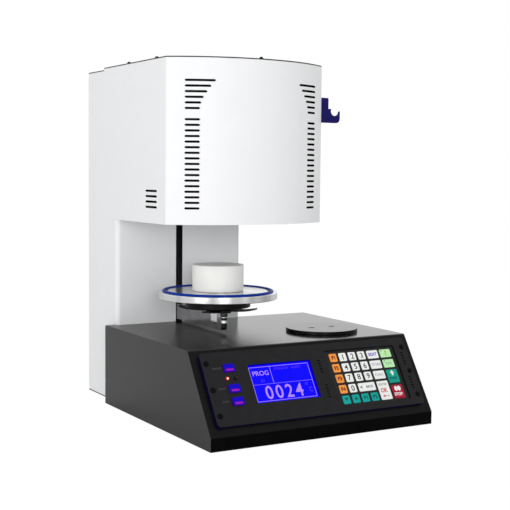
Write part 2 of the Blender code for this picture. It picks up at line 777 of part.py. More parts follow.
def make_base():
    """Model the base's cover, its bottom pan and its feet."""
    half = BASE_WIDTH / 2
    profile = [
        (BASE_REAR_Y, SKIRT_HEIGHT),
        (BASE_REAR_Y, BASE_HEIGHT),
        (FRONT_Y + SLOPE_RUN, BASE_HEIGHT),
        (FRONT_Y, LIP_HEIGHT),
        (FRONT_Y, SKIRT_HEIGHT),
    ]
    bends = {1: BASE_BEND, 2: BASE_BEND, 3: BASE_BEND}
    outer = rounded(profile, bends)
    cover = add_part("base_cover", plate_mesh([outer], BASE_WIDTH, SIDEWAYS), BLACK_PAINT)
    deeper = [(y, z - OVERRUN * (z == SKIRT_HEIGHT)) for y, z in outer]
    hollow = plate_mesh([offset_path(deeper, BASE_SHEET)], BASE_WIDTH - 2 * BASE_SHEET, SIDEWAYS)
    cut(cover, add_tool("base_hollow", hollow))
    notch = box_mesh([(
        (LEFT_X - GAP, COLUMN_FRONT_Y - GAP, 0),
        (COLUMN_RIGHT_X + GAP, BASE_REAR_Y + OVERRUN, BASE_HEIGHT + OVERRUN),
    )])
    cut(cover, add_tool("column_notch", notch))

    side = half - BASE_SHEET - GAP
    rear = BASE_REAR_Y - BASE_SHEET - GAP
    outline = [
        (-side, FRONT_Y + BASE_SHEET + GAP),
        (side, FRONT_Y + BASE_SHEET + GAP),
        (side, rear),
        (COLUMN_RIGHT_X, rear),
        (COLUMN_RIGHT_X, COLUMN_REAR_Y),
        (LEFT_X, COLUMN_REAR_Y),
        (LEFT_X, rear),
        (-side, rear),
    ]
    middle = Matrix.Translation((0, 0, PAN_BOTTOM + SHEET / 2))
    add_part("base_pan", plate_mesh([outline], SHEET, middle), DARK_STEEL)

    front = FRONT_Y + FOOT_INSET
    back = COLUMN_REAR_Y - FOOT_INSET
    places = {
        "foot_front_left": (-half + FOOT_INSET, front),
        "foot_front_right": (half - FOOT_INSET, front),
        "foot_rear_left": (LEFT_X + FOOT_INSET, back),
        "foot_rear_right": (COLUMN_RIGHT_X - FOOT_INSET, back),
    }
    for name, (across, along) in places.items():
        mesh = rod_mesh([(ORIGIN, (0, 0, FOOT_HEIGHT), FOOT_RADIUS)], SMALL_STEPS)
        smooth(add_part(name, mesh, RUBBER, (across, along, 0)))
    return cover


def vent_cutter():
    """Return the cutter for all the slots in the head's sheet."""
    lowest = HEAD_BOTTOM + VENT_RISE
    depth = FRONT_SAGITTA
    middle_y = HEAD_FRONT_Y + depth / 2 - OVERRUN
    shape = bmesh.new()
    for row in range(VENT_ROWS):
        if row == VENT_SKIPPED_ROW:
            continue
        spread = max(row - VENT_SKIPPED_ROW - 1, 0) / (VENT_ROWS - VENT_SKIPPED_ROW - 2)
        length = VENT_LENGTH + VENT_GROWTH * spread ** VENT_GROWTH_POWER
        height = lowest + row * VENT_PITCH
        for side in (-1, 1):
            across = HEAD_MIDDLE_X + side * (VENT_OUTER - length / 2)
            outline = slot((across, height), length, VENT_HEIGHT, 1)
            shape.from_mesh(plate_mesh([outline], depth, standing(middle_y)))
    setback = CORNER_Y + SIDE_VENT_SETBACK + SIDE_VENT_LENGTH / 2
    for row in range(SIDE_VENT_ROWS):
        outline = slot((setback, lowest + row * VENT_PITCH), SIDE_VENT_LENGTH, VENT_HEIGHT, 1)
        place = Matrix.Translation((LEFT_X, 0, 0)) @ SIDEWAYS
        shape.from_mesh(plate_mesh([outline], 4 * SHEET, place))
    return add_tool("vents", settle(shape, "vents"))


def make_housing():
    """Model the white sheets of the head and the column."""
    shell = add_part(
        "head_shell",
        wall_mesh(head_path(), SHEET, HEAD_BOTTOM, SHELL_TOP),
        WHITE_PAINT,
    )
    slot_left = AXIS_X - SLOT_WIDTH / 2
    slot_right = AXIS_X + SLOT_WIDTH / 2
    path = [(LEFT_X, COLUMN_REAR_Y), (LEFT_X, COLUMN_FRONT_Y), (slot_left, COLUMN_FRONT_Y)]
    lap = HEAD_BOTTOM - GAP
    wall = wall_mesh(rounded(path, {1: COLUMN_BEND}), SHEET, WALL_BOTTOM, lap)
    left = add_tool("column_left", wall)
    strip = box_mesh([(
        (LEFT_X, COLUMN_FRONT_Y + COLUMN_BEND, lap - COLUMN_BEND),
        (LEFT_X + SHEET, COLUMN_REAR_Y, HEAD_BOTTOM + COLUMN_BEND),
    )])
    fuse(shell, left)
    fuse(shell, add_tool("wall_strip", strip))
    step = box_mesh([(
        (LEFT_X - OVERRUN, STEP_Y, REAR_SHELL_TOP),
        (HEAD_RIGHT_X + OVERRUN, COLUMN_REAR_Y + OVERRUN, HEAD_TOP),
    )])
    cut(shell, add_tool("rear_step", step))
    trim = corner_trim(COLUMN_REAR_Y, REAR_SHELL_TOP, REAR_CORNER, 1)
    cut(shell, add_tool("top_corner", trim))
    trim = corner_trim(COLUMN_REAR_Y, WALL_BOTTOM, COLUMN_BEND, -1)
    cut(shell, add_tool("low_corner", trim))
    cut(shell, vent_cutter())

    path = [
        (slot_right, COLUMN_FRONT_Y),
        (COLUMN_RIGHT_X, COLUMN_FRONT_Y),
        (COLUMN_RIGHT_X, COLUMN_REAR_Y),
    ]
    wall = wall_mesh(rounded(path, {1: COLUMN_BEND}), SHEET, WALL_BOTTOM, lap)
    add_part("column_shell", wall, WHITE_PAINT)

    inner = head_path(SHEET + GAP)
    inner[0] = (inner[0][0], REAR_INNER_Y - GAP)
    inner[-1] = (inner[-1][0], REAR_INNER_Y - GAP)
    mouth = circle((AXIS_X, PLATFORM_Y), FLANGE_FACE_RADIUS + GAP, ROUND_STEPS)
    middle = Matrix.Translation((0, 0, HEAD_BOTTOM + SHEET / 2))
    add_part("head_floor", plate_mesh([inner, mouth], SHEET, middle), BRIGHT_ALUMINIUM)


def corner_trim(along, height, radius, side):
    """Return the sliver that rounds a corner at the rear of the left wall."""
    centre = (along - radius, height - side * radius)
    quarter = math.pi / 2
    bend = arc(centre, radius, 0, side * quarter, BEND_STEPS)
    far = along + OVERRUN
    edge = height + side * OVERRUN
    outline = [(far, centre[1])] + bend + [(centre[0], edge), (far, edge)]
    width = HEAD_WIDTH + 4 * OVERRUN
    place = Matrix.Translation((HEAD_MIDDLE_X, 0, 0)) @ SIDEWAYS
    return plate_mesh([outline], width, place)


def top_screw_places():
    """Return the plan places of the screws that hold the top cover."""
    edge = LEFT_X + TOP_SCREW_INSET
    front = CORNER_Y + TOP_SCREW_FRONT
    return [
        (edge, front),
        (edge, front + TOP_SCREW_PITCH),
        (HEAD_MIDDLE_X, HEAD_FRONT_Y + TOP_SCREW_INSET),
    ]


def make_covers():
    """Model the top cover with its screws and the rear cover."""
    rim = head_path(GAP)
    rim[0] = (rim[0][0], STEP_Y - GAP)
    rim[-1] = (rim[-1][0], STEP_Y - GAP)
    holes = [circle(place, TOP_SCREW_SHANK + GAP, TINY_STEPS) for place in top_screw_places()]
    middle = Matrix.Translation((0, 0, HEAD_TOP - SHEET / 2))
    add_part("top_cover", plate_mesh([rim] + holes, SHEET, middle), BLACK_PAINT)
    head = HEAD_TOP + GAP
    for index, (across, along) in enumerate(top_screw_places(), start=1):
        profile = [
            (0, TOP_SCREW_HEIGHT),
            (TOP_SCREW_RADIUS, TOP_SCREW_HEIGHT),
            (TOP_SCREW_RADIUS, 0),
            (TOP_SCREW_SHANK, 0),
            (TOP_SCREW_SHANK, -TOP_SCREW_LENGTH),
            (0, -TOP_SCREW_LENGTH),
        ]
        screw = add_part(
            f"top_screw_{index}", turned_mesh(profile), DARK_STEEL, (across, along, head)
        )
        turn(screw, TINY_STEPS)

    inset = SHEET + GAP
    left = LEFT_X + inset
    outline = [
        (left, WALL_BOTTOM),
        (COLUMN_RIGHT_X - inset, WALL_BOTTOM),
        (COLUMN_RIGHT_X - inset, HEAD_BOTTOM + COLUMN_BEND),
        (HEAD_RIGHT_X - inset, HEAD_BOTTOM + COLUMN_BEND),
        (HEAD_RIGHT_X - inset, REAR_TOP - SHEET / 3),
        (left, REAR_TOP - SHEET / 3),
    ]
    holes = [circle(port_place(), PORT_STEM_RADIUS + GAP, TINY_STEPS)]
    low, high = inlet_window()
    holes.append(rectangle(low, high))
    fan_x, fan_z = fan_place()
    for index in range(GRILLE_SLOTS):
        offset = (index - (GRILLE_SLOTS - 1) / 2) * 2 * GRILLE_RADIUS / GRILLE_SLOTS
        chord = 2 * math.sqrt(GRILLE_RADIUS ** 2 - offset ** 2)
        holes.append(slot((fan_x, fan_z + offset), chord, GRILLE_SLOT_HEIGHT, 1))
    for row in range(LOUVRE_ROWS):
        height = LOUVRE_RISE + row * LOUVRE_PITCH
        for across in (LEFT_X + COLUMN_WIDTH / 4, COLUMN_RIGHT_X - COLUMN_WIDTH / 4):
            holes.append(slot((across, height), LOUVRE_LENGTH, GRILLE_SLOT_HEIGHT, 1))
    place = standing(COLUMN_REAR_Y - SHEET / 2)
    rear = add_part("rear_cover", plate_mesh([outline] + holes, SHEET, place), BLACK_PAINT)
    lid = box_mesh([(
        (LEFT_X + GAP, STEP_Y + GAP, REAR_TOP - SHEET),
        (HEAD_RIGHT_X - GAP, COLUMN_REAR_Y - SHEET / 3, REAR_TOP),
    )])
    fuse(rear, add_tool("rear_lid", lid))


def make_hook():
    """Model the hook for the tongs on the head's right side."""
    notch = (HOOK_NOTCH_REACH, -HOOK_NOTCH_DROP)
    rim = math.asin((HOOK_NOTCH_DROP - HOOK_SHOULDER_DROP) / HOOK_NOTCH_RADIUS)
    cup = arc(notch, HOOK_NOTCH_RADIUS, math.pi - rim, math.tau - rim / 8, 2 * BEND_STEPS)
    shoulder = (HOOK_NOTCH_REACH - HOOK_NOTCH_RADIUS * math.cos(rim), -HOOK_SHOULDER_DROP)
    corner = (HOOK_REACH - HOOK_CORNER, HOOK_CORNER - HOOK_HEIGHT)
    bend = arc(corner, HOOK_CORNER, 0, -math.pi / 2, BEND_STEPS)
    neck = rounded(
        [(0, 0), (HOOK_NECK, 0), (HOOK_NECK, -HOOK_SHOULDER_DROP), shoulder],
        {1: HOOK_NECK / 8},
    )
    outline = neck[:-1] + cup + [(HOOK_REACH, -HOOK_NOTCH_DROP)] + bend + [(0, -HOOK_HEIGHT)]
    mesh = plate_mesh([outline], HOOK_THICKNESS, standing(0))
    along = CORNER_Y + HOOK_SETBACK
    place = (HEAD_RIGHT_X + GAP, along, HEAD_TOP - HOOK_DROP)
    hook = add_part("tongs_hook", mesh, HOOK_BLUE, place)
    bevel(hook, HOOK_NECK / 32)


def slope_frame():
    """Return the empty that carries the panel: Y runs up the slope, Z out of it."""
    frame = bpy.data.objects.new("slope_frame", None)
    PARTS.objects.link(frame)
    frame.location = (0, FRONT_Y, LIP_HEIGHT)
    frame.rotation_euler = (SLOPE_ANGLE, 0, 0)
    bpy.context.view_layer.update()
    return frame


def panel_screw_places():
    """Return the places of the panel's screws on the slope."""
    left = PANEL_LEFT + PANEL_SCREW_SIDE_SHARES[0] * PANEL_GAPS[0]
    right = PANEL_RIGHT - PANEL_SCREW_SIDE_SHARES[1] * PANEL_GAPS[3]
    rows = [PANEL_LOW + share * PANEL_HEIGHT for share in PANEL_SCREW_ROW_SHARES]
    return [(across, up) for across in (left, right) for up in rows]


def key_boxes():
    """Return the low and high corners of every key on the slope."""
    keys = []

    def add(left, low, width, height):
        keys.append(((left, low), (left + width, low + height)))

    def row_low(row):
        return KEY_LOW + row * KEY_PITCH_UP

    def column_left(column):
        return KEY_LEFT + column * KEY_PITCH_ACROSS

    for column in range(4):
        add(column_left(column), row_low(0), KEY_WIDTH, KEY_HEIGHT)
    for row in range(1, 5):
        add(column_left(0), row_low(row), KEY_WIDTH, KEY_HEIGHT)
    add(column_left(1), row_low(1), KEY_WIDTH, KEY_HEIGHT)
    add(column_left(2), row_low(1), BACK_KEY_WIDTH, KEY_HEIGHT)
    for row in range(2, 5):
        for column in range(1, 4):
            add(column_left(column), row_low(row), KEY_WIDTH, KEY_HEIGHT)
        add(WIDE_KEY_LEFT, row_low(row), WIDE_KEY_WIDTH, KEY_HEIGHT)
    add(WIDE_KEY_LEFT, row_low(0), WIDE_KEY_WIDTH, TALL_KEY_HEIGHT)
    add(END_KEY_LEFT, row_low(4), END_KEY_WIDTH, KEY_HEIGHT)
    add(END_KEY_LEFT, row_low(3), END_KEY_WIDTH, KEY_HEIGHT)
    add(END_KEY_LEFT, row_low(1.5), END_KEY_WIDTH, END_KEY_HEIGHT)
    add(END_KEY_LEFT, row_low(0), END_KEY_WIDTH, END_KEY_HEIGHT)
    return keys


def make_panel(frame, cover):
    """Model the control panel and everything that it carries."""
    screws = panel_screw_places()
    flange_left = BUTTON_ACROSS - BUTTON_WIDTH / 2 - BUTTON_FLANGE_RIM - BOARD_MARGIN
    opening_left = (screws[0][0] + flange_left) / 2
    opening_right = (KEYPAD_RIGHT + screws[-1][0]) / 2
    opening = box_mesh([(
        (opening_left, PANEL_LOW + OPENING_INSET, -BASE_SHEET - BASE_BEND),
        (opening_right, PANEL_HIGH - OPENING_INSET, OVERRUN),
    )])
    cut(cover, add_tool("panel_opening", opening, parent=frame))
    bores = [
        ((across, up, -BASE_SHEET - OVERRUN), (across, up, OVERRUN), PANEL_SCREW_SHANK + GAP)
        for across, up in screws
    ]
    cut(cover, add_tool("panel_bores", rod_mesh(bores, TINY_STEPS), parent=frame))

    rim = rectangle((PANEL_LEFT, PANEL_LOW), (PANEL_RIGHT, PANEL_HIGH), PANEL_CORNER)
    display_high = (DISPLAY_LEFT + DISPLAY_WIDTH, DISPLAY_LOW + DISPLAY_HEIGHT)
    keypad_low = (KEYPAD_LEFT, KEYPAD_LOW)
    keypad_high = (KEYPAD_RIGHT, KEYPAD_LOW + KEYPAD_HEIGHT)
    holes = [
        rectangle((DISPLAY_LEFT, DISPLAY_LOW), display_high),
        rectangle(
            (keypad_low[0] - GAP, keypad_low[1] - GAP),
            (keypad_high[0] + GAP, keypad_high[1] + GAP),
            2 * KEY_CORNER,
        ),
    ]
    holes += [circle(place, PANEL_SCREW_SHANK + GAP, TINY_STEPS) for place in screws]
    for up in BUTTON_HEIGHTS:
        half = (BUTTON_WIDTH / 2 + GAP, BUTTON_DEPTH / 2 + GAP)
        low = (BUTTON_ACROSS - half[0], up - half[1])
        holes.append(rectangle(low, (BUTTON_ACROSS + half[0], up + half[1])))
    for across in LAMP_ACROSS:
        holes.append(circle((across, LAMP_HEIGHT), LAMP_RADIUS + GAP, SMALL_STEPS))
    for across in SPEAKER_ACROSS:
        for share in SPEAKER_ROW_SHARES:
            for row in range(SPEAKER_SLOTS):
                height = PANEL_LOW + share * PANEL_HEIGHT + row * SPEAKER_PITCH
                centre = (across, height)
                holes.append(slot(centre, SPEAKER_LENGTH, SPEAKER_HEIGHT, 1))
    lift = Matrix.Translation((0, 0, GAP + PANEL_THICKNESS / 2))
    mesh = plate_mesh([rim] + holes, PANEL_THICKNESS, lift)
    add_part("control_panel", mesh, PANEL_BLACK, parent=frame)
    panel_top = GAP + PANEL_THICKNESS

    for index, (across, up) in enumerate(screws, start=1):
        profile = [
            (0, PANEL_SCREW_HEIGHT),
            (PANEL_SCREW_RADIUS / 2, PANEL_SCREW_HEIGHT),
            (PANEL_SCREW_RADIUS, PANEL_SCREW_HEIGHT / 3),
            (PANEL_SCREW_RADIUS, 0),
            (PANEL_SCREW_SHANK, 0),
            (PANEL_SCREW_SHANK, -PANEL_SCREW_LENGTH),
            (0, -PANEL_SCREW_LENGTH),
        ]
        place = (across, up, panel_top + GAP)
        screw = add_part(f"panel_screw_{index}", turned_mesh(profile), DARK_STEEL, place, frame)
        turn(screw, TINY_STEPS)

    low = (DISPLAY_LEFT + GAP, DISPLAY_LOW + GAP)
    high = (display_high[0] - GAP, display_high[1] - GAP)
    glass = box_mesh([((*low, GAP), (*high, GAP + DISPLAY_GLASS))])
    add_part("display_window", glass, DISPLAY_BLUE, parent=frame)
    margin = MODULE_MARGIN
    module = box_mesh([(
        (DISPLAY_LEFT - margin, DISPLAY_LOW - margin, -MODULE_DEPTH),
        (display_high[0] + margin, display_high[1] + margin, 0),
    )])
    add_part("display_module", module, BOARD_GREEN, parent=frame)

    margin = KEYPAD_FLANGE_RIM
    flange = box_mesh([(
        (keypad_low[0] - margin, keypad_low[1] - margin, -KEYPAD_FLANGE),
        (keypad_high[0] + margin, keypad_high[1] + margin, 0),
    )])
    keypad = add_part("keypad", flange, KEYPAD_WHITE, parent=frame)
    film = panel_top - KEYPAD_RECESS
    depth = film + KEYPAD_FLANGE / 2
    lift = Matrix.Translation((0, 0, film - depth / 2))
    field = plate_mesh([rectangle(keypad_low, keypad_high, 2 * KEY_CORNER)], depth, lift)
    fuse(keypad, add_tool("keypad_field", field, parent=frame))
    keys = bmesh.new()
    relief = KEYPAD_FLANGE / 2 + KEY_RELIEF
    lift = Matrix.Translation((0, 0, film + KEY_RELIEF - relief / 2))
    for low, high in key_boxes():
        keys.from_mesh(plate_mesh([rectangle(low, high, KEY_CORNER, 1)], relief, lift))
    fuse(keypad, add_tool("keys", settle(keys, "keys"), parent=frame))
    make_buttons(frame, panel_top)


def make_buttons(frame, panel_top):
    """Model the push buttons, the lamps and the board behind them."""
    flange_x = BUTTON_WIDTH / 2 + BUTTON_FLANGE_RIM
    flange_y = BUTTON_DEPTH / 2 + BUTTON_FLANGE_RIM
    stem_end = -BUTTON_FLANGE - BUTTON_STEM_LENGTH
    for index, up in enumerate(BUTTON_HEIGHTS, start=1):
        cap = rectangle(
            (-BUTTON_WIDTH / 2, -BUTTON_DEPTH / 2),
            (BUTTON_WIDTH / 2, BUTTON_DEPTH / 2),
            KEY_CORNER / 2,
            1,
        )
        tall = panel_top + BUTTON_STAND + BUTTON_FLANGE / 2
        lift = Matrix.Translation((0, 0, tall / 2 - BUTTON_FLANGE / 2))
        place = (BUTTON_ACROSS, up, 0)
        button = add_part(
            f"push_button_{index}", plate_mesh([cap], tall, lift), BUTTON_BLUE, place, frame
        )
        flange = box_mesh([(
            (-flange_x, -flange_y, -BUTTON_FLANGE),
            (flange_x, flange_y, 0),
        )])
        stem = rod_mesh([(
            (0, 0, stem_end),
            (0, 0, -BUTTON_FLANGE / 2),
            BUTTON_STEM_RADIUS,
        )], TINY_STEPS)
        fuse(button, add_tool(f"button_flange_{index}", flange, place, frame))
        fuse(button, add_tool(f"button_stem_{index}", stem, place, frame))

    board_top = stem_end - BUTTON_TRAVEL - GAP
    board_low = board_top - BOARD_THICKNESS
    left = BUTTON_ACROSS - flange_x - BOARD_MARGIN
    right = DISPLAY_LEFT - MODULE_MARGIN - GAP
    low = min(BUTTON_HEIGHTS) - flange_y - BOARD_MARGIN / 2
    high = max(BUTTON_HEIGHTS) + flange_y + BOARD_MARGIN / 2
    board = add_part(
        "button_board",
        box_mesh([((left, low, board_low), (right, high, board_top))]),
        BOARD_GREEN,
        parent=frame,
    )
    inset = left + BOARD_POST_RADIUS + GAP
    posts = [
        ((inset, up, board_low + BOARD_THICKNESS / 2), (inset, up, 0), BOARD_POST_RADIUS)
        for up in (low + BOARD_MARGIN, high - BOARD_MARGIN)
    ]
    fuse(board, add_tool("board_posts", rod_mesh(posts, TINY_STEPS), parent=frame))

    for name, across, finish in zip(
        ("lit_lamp", "dark_lamp"), LAMP_ACROSS, (LAMP_RED, LAMP_DARK)
    ):
        foot = board_top + GAP
        crown = panel_top + LAMP_STAND
        dome = arc((0, crown), LAMP_RADIUS, math.pi / 2, 0, BEND_STEPS)
        dome[0] = (0, dome[0][1])
        profile = dome + [(LAMP_RADIUS, foot), (0, foot)]
        place = (across, LAMP_HEIGHT, 0)
        turn(add_part(name, turned_mesh(profile), finish, place, frame), SMALL_STEPS)


def make_cooling_plate():
    """Model the cooling plate that lies on the base."""
    reach = PLATE_HOLE_SPACING / 2
    holes = [
        slot((side * reach, 0), PLATE_HOLE_LENGTH, PLATE_HOLE_WIDTH, BEND_STEPS)
        for side in (-1, 1)
    ]
    lift = Matrix.Translation((0, 0, PLATE_THICKNESS / 2))
    mesh = plate_mesh([circle((0, 0), PLATE_RADIUS, ROUND_STEPS)] + holes, PLATE_THICKNESS, lift)
    across = BASE_WIDTH / 2 - PLATE_RIGHT_INSET
    along = FRONT_Y + PLATE_FRONT_INSET
    place = (across, along, BASE_HEIGHT + GAP)
    smooth(add_part("cooling_plate", mesh, DARK_STEEL, place))


def make_arm():
    """Model the lift arm with its nose and the stud that stands on it."""
    half = ARM_WIDTH / 2
    face = PLATFORM_Y + ARM_FACE_SETBACK
    root_rear = DRIVE_Y - CARRIAGE_DEPTH / 2 - GAP
    root_front = root_rear - ROOT_THICKNESS
    rear = root_front + ROOT_THICKNESS / 2
    nose_rear = face - NOTCH_LENGTH
    outline = [
        (rear, ARM_BOTTOM),
        (rear, ARM_TOP),
        (face, ARM_TOP),
        (face, NOTCH_FLOOR),
        (nose_rear, NOTCH_FLOOR),
        (nose_rear, NOSE_TOP),
        (STUD_Y, NOSE_TOP),
        (STUD_Y, ARM_BOTTOM),
    ]
    middle = Matrix.Translation((AXIS_X, 0, 0)) @ SIDEWAYS
    arm = add_part("lift_arm", plate_mesh([outline], ARM_WIDTH, middle), BRIGHT_ALUMINIUM)
    front = half - GAP / 2
    bend = arc((front - NOSE_ROUND, NOSE_ROUND), NOSE_ROUND, 0, -math.pi / 2, BEND_STEPS)
    bullet = [(0, NOSE_HEIGHT), (front, NOSE_HEIGHT)] + bend + [(0, 0)]
    tip = add_tool("arm_nose", turned_mesh(bullet), (AXIS_X, STUD_Y, ARM_BOTTOM))
    turn(tip, 2 * SMALL_STEPS)
    fuse(arm, tip)
    root = box_mesh([(
        (AXIS_X - ROOT_WIDTH / 2, root_front, ARM_BOTTOM - ROOT_MARGIN),
        (AXIS_X + ROOT_WIDTH / 2, root_rear, ARM_TOP + ROOT_MARGIN),
    )])
    fuse(arm, add_tool("arm_root", root))
    pin_end = NOSE_TOP - STUD_PIN_LENGTH
    bore = rod_mesh([(
        (AXIS_X, STUD_Y, pin_end - GAP),
        (AXIS_X, STUD_Y, NOSE_TOP + OVERRUN),
        STUD_PIN_RADIUS + GAP,
    )])
    cut(arm, add_tool("stud_bore", bore))

    profile = [
        (0, STUD_HEIGHT),
        (STUD_HEAD_RADIUS, STUD_HEIGHT),
        (STUD_HEAD_RADIUS, STUD_HEIGHT / 3),
        (STUD_NECK_RADIUS, STUD_NUT_HEIGHT),
        (STUD_NUT_RADIUS, STUD_NUT_HEIGHT),
        (STUD_NUT_RADIUS, 0),
        (STUD_PIN_RADIUS, 0),
        (STUD_PIN_RADIUS, -STUD_PIN_LENGTH),
        (0, -STUD_PIN_LENGTH),
    ]
    place = (AXIS_X, STUD_Y, NOSE_TOP + GAP)
    turn(add_part("levelling_stud", turned_mesh(profile), DARK_STEEL, place), SMALL_STEPS)


def leaf_mesh(angle):
    """Return one leaf, from tip to tip, with both tips curved up."""
    shape = bmesh.new()
    bmesh.ops.create_grid(shape, x_segments=LEAF_SPANS, y_segments=1, size=1)
    reach = LEAF_REACH
    bmesh.ops.scale(shape, vec=(reach, LEAF_WIDTH / 2, 1), verts=shape.verts)
    for vertex in shape.verts:
        share = max(abs(vertex.co.x) - LEAF_DISC_RADIUS, 0) / (reach - LEAF_DISC_RADIUS)
        vertex.co.z = LEAF_RISE * share ** 2
        vertex.co.y *= math.sqrt(1 - max(share, 0) ** 6 * 3 / 4)
    bmesh.ops.solidify(shape, geom=shape.faces[:], thickness=LEAF_THICKNESS)
    bmesh.ops.recalc_face_normals(shape, faces=shape.faces)
    bmesh.ops.rotate(shape, matrix=Matrix.Rotation(angle, 3, "Z"), verts=shape.verts)
    return settle(shape, "leaf")


def make_leaf_plate():
    """Model the sprung plate between the stud and the platform."""
    centre = Vector((AXIS_X, PLATFORM_Y, LEAF_TOP))
    drop = LEAF_DISC_THICKNESS
    disc = rod_mesh([((0, 0, -drop), ORIGIN, LEAF_DISC_RADIUS)], ROUND_STEPS // 2)
    plate = add_part("leaf_spring_plate", disc, PANEL_BLACK, centre)
    middle = centre - Vector((0, 0, drop / 2))
    for index, angle in enumerate((math.pi / 4, -math.pi / 4)):
        fuse(plate, add_tool(f"leaf_{index}", leaf_mesh(angle), middle))
    hub = rod_mesh([(
        (AXIS_X, STUD_Y, LEAF_BOTTOM),
        (AXIS_X, STUD_Y, LEAF_TOP - drop / 4),
        LEAF_HUB_RADIUS,
    )], ROUND_STEPS // 2)
    fuse(plate, add_tool("leaf_hub", hub))
    smooth(plate)


def make_platform():
    """Model the platform, its black seat disc, the seal and the pedestal."""
    centre = (AXIS_X, PLATFORM_Y, PLATFORM_BOTTOM)
    top = PLATFORM_THICKNESS
    groove = SEAL_WIRE + GAP
    valley = arc((SEAL_RADIUS, top), groove, math.pi, math.tau, BEND_STEPS)
    inner = SEAL_RADIUS - 2 * groove
    profile = [
        (0, top + PLATFORM_PLATEAU),
        (inner, top + PLATFORM_PLATEAU),
        (inner + PLATFORM_PLATEAU, top),
    ] + valley + [
        (PLATFORM_RADIUS - PLATFORM_EDGE, top),
        (PLATFORM_RADIUS, top - PLATFORM_EDGE),
        (PLATFORM_RADIUS, PLATFORM_EDGE),
        (PLATFORM_RADIUS - PLATFORM_EDGE, 0),
        (0, 0),
    ]
    turn(add_part("platform", turned_mesh(profile), POLISHED_STEEL, centre))

    tall = SEAT_BOSS_HEIGHT + SEAT_DISC_THICKNESS
    profile = [
        (0, tall),
        (SEAT_DISC_RADIUS, tall),
        (SEAT_DISC_RADIUS, SEAT_BOSS_HEIGHT),
        (SEAT_BOSS_RADIUS, SEAT_BOSS_HEIGHT),
        (SEAT_BOSS_RADIUS, 0),
        (0, 0),
    ]
    place = (AXIS_X, PLATFORM_Y, SEAT_BOTTOM)
    turn(add_part("platform_seat", turned_mesh(profile), PANEL_BLACK, place), ROUND_STEPS // 2)

    ring = arc((SEAL_RADIUS, 0), SEAL_WIRE, math.pi / 2, -3 * math.pi / 2, 2 * BEND_STEPS)[:-1]
    place = (AXIS_X, PLATFORM_Y, PLATFORM_TOP)
    turn(add_part("platform_seal", turned_mesh(ring, CLOSED_PATH), SEAL_BLUE, place))

    edge = PEDESTAL_EDGE
    profile = [
        (0, PEDESTAL_HEIGHT),
        (PEDESTAL_RADIUS - edge, PEDESTAL_HEIGHT),
        (PEDESTAL_RADIUS, PEDESTAL_HEIGHT - edge),
        (PEDESTAL_RADIUS, edge),
        (PEDESTAL_RADIUS - edge, 0),
        (0, 0),
    ]
    place = (AXIS_X, PLATFORM_Y, PLATEAU_TOP + GAP)
    turn(add_part("firing_pedestal", turned_mesh(profile), CERAMIC, place))


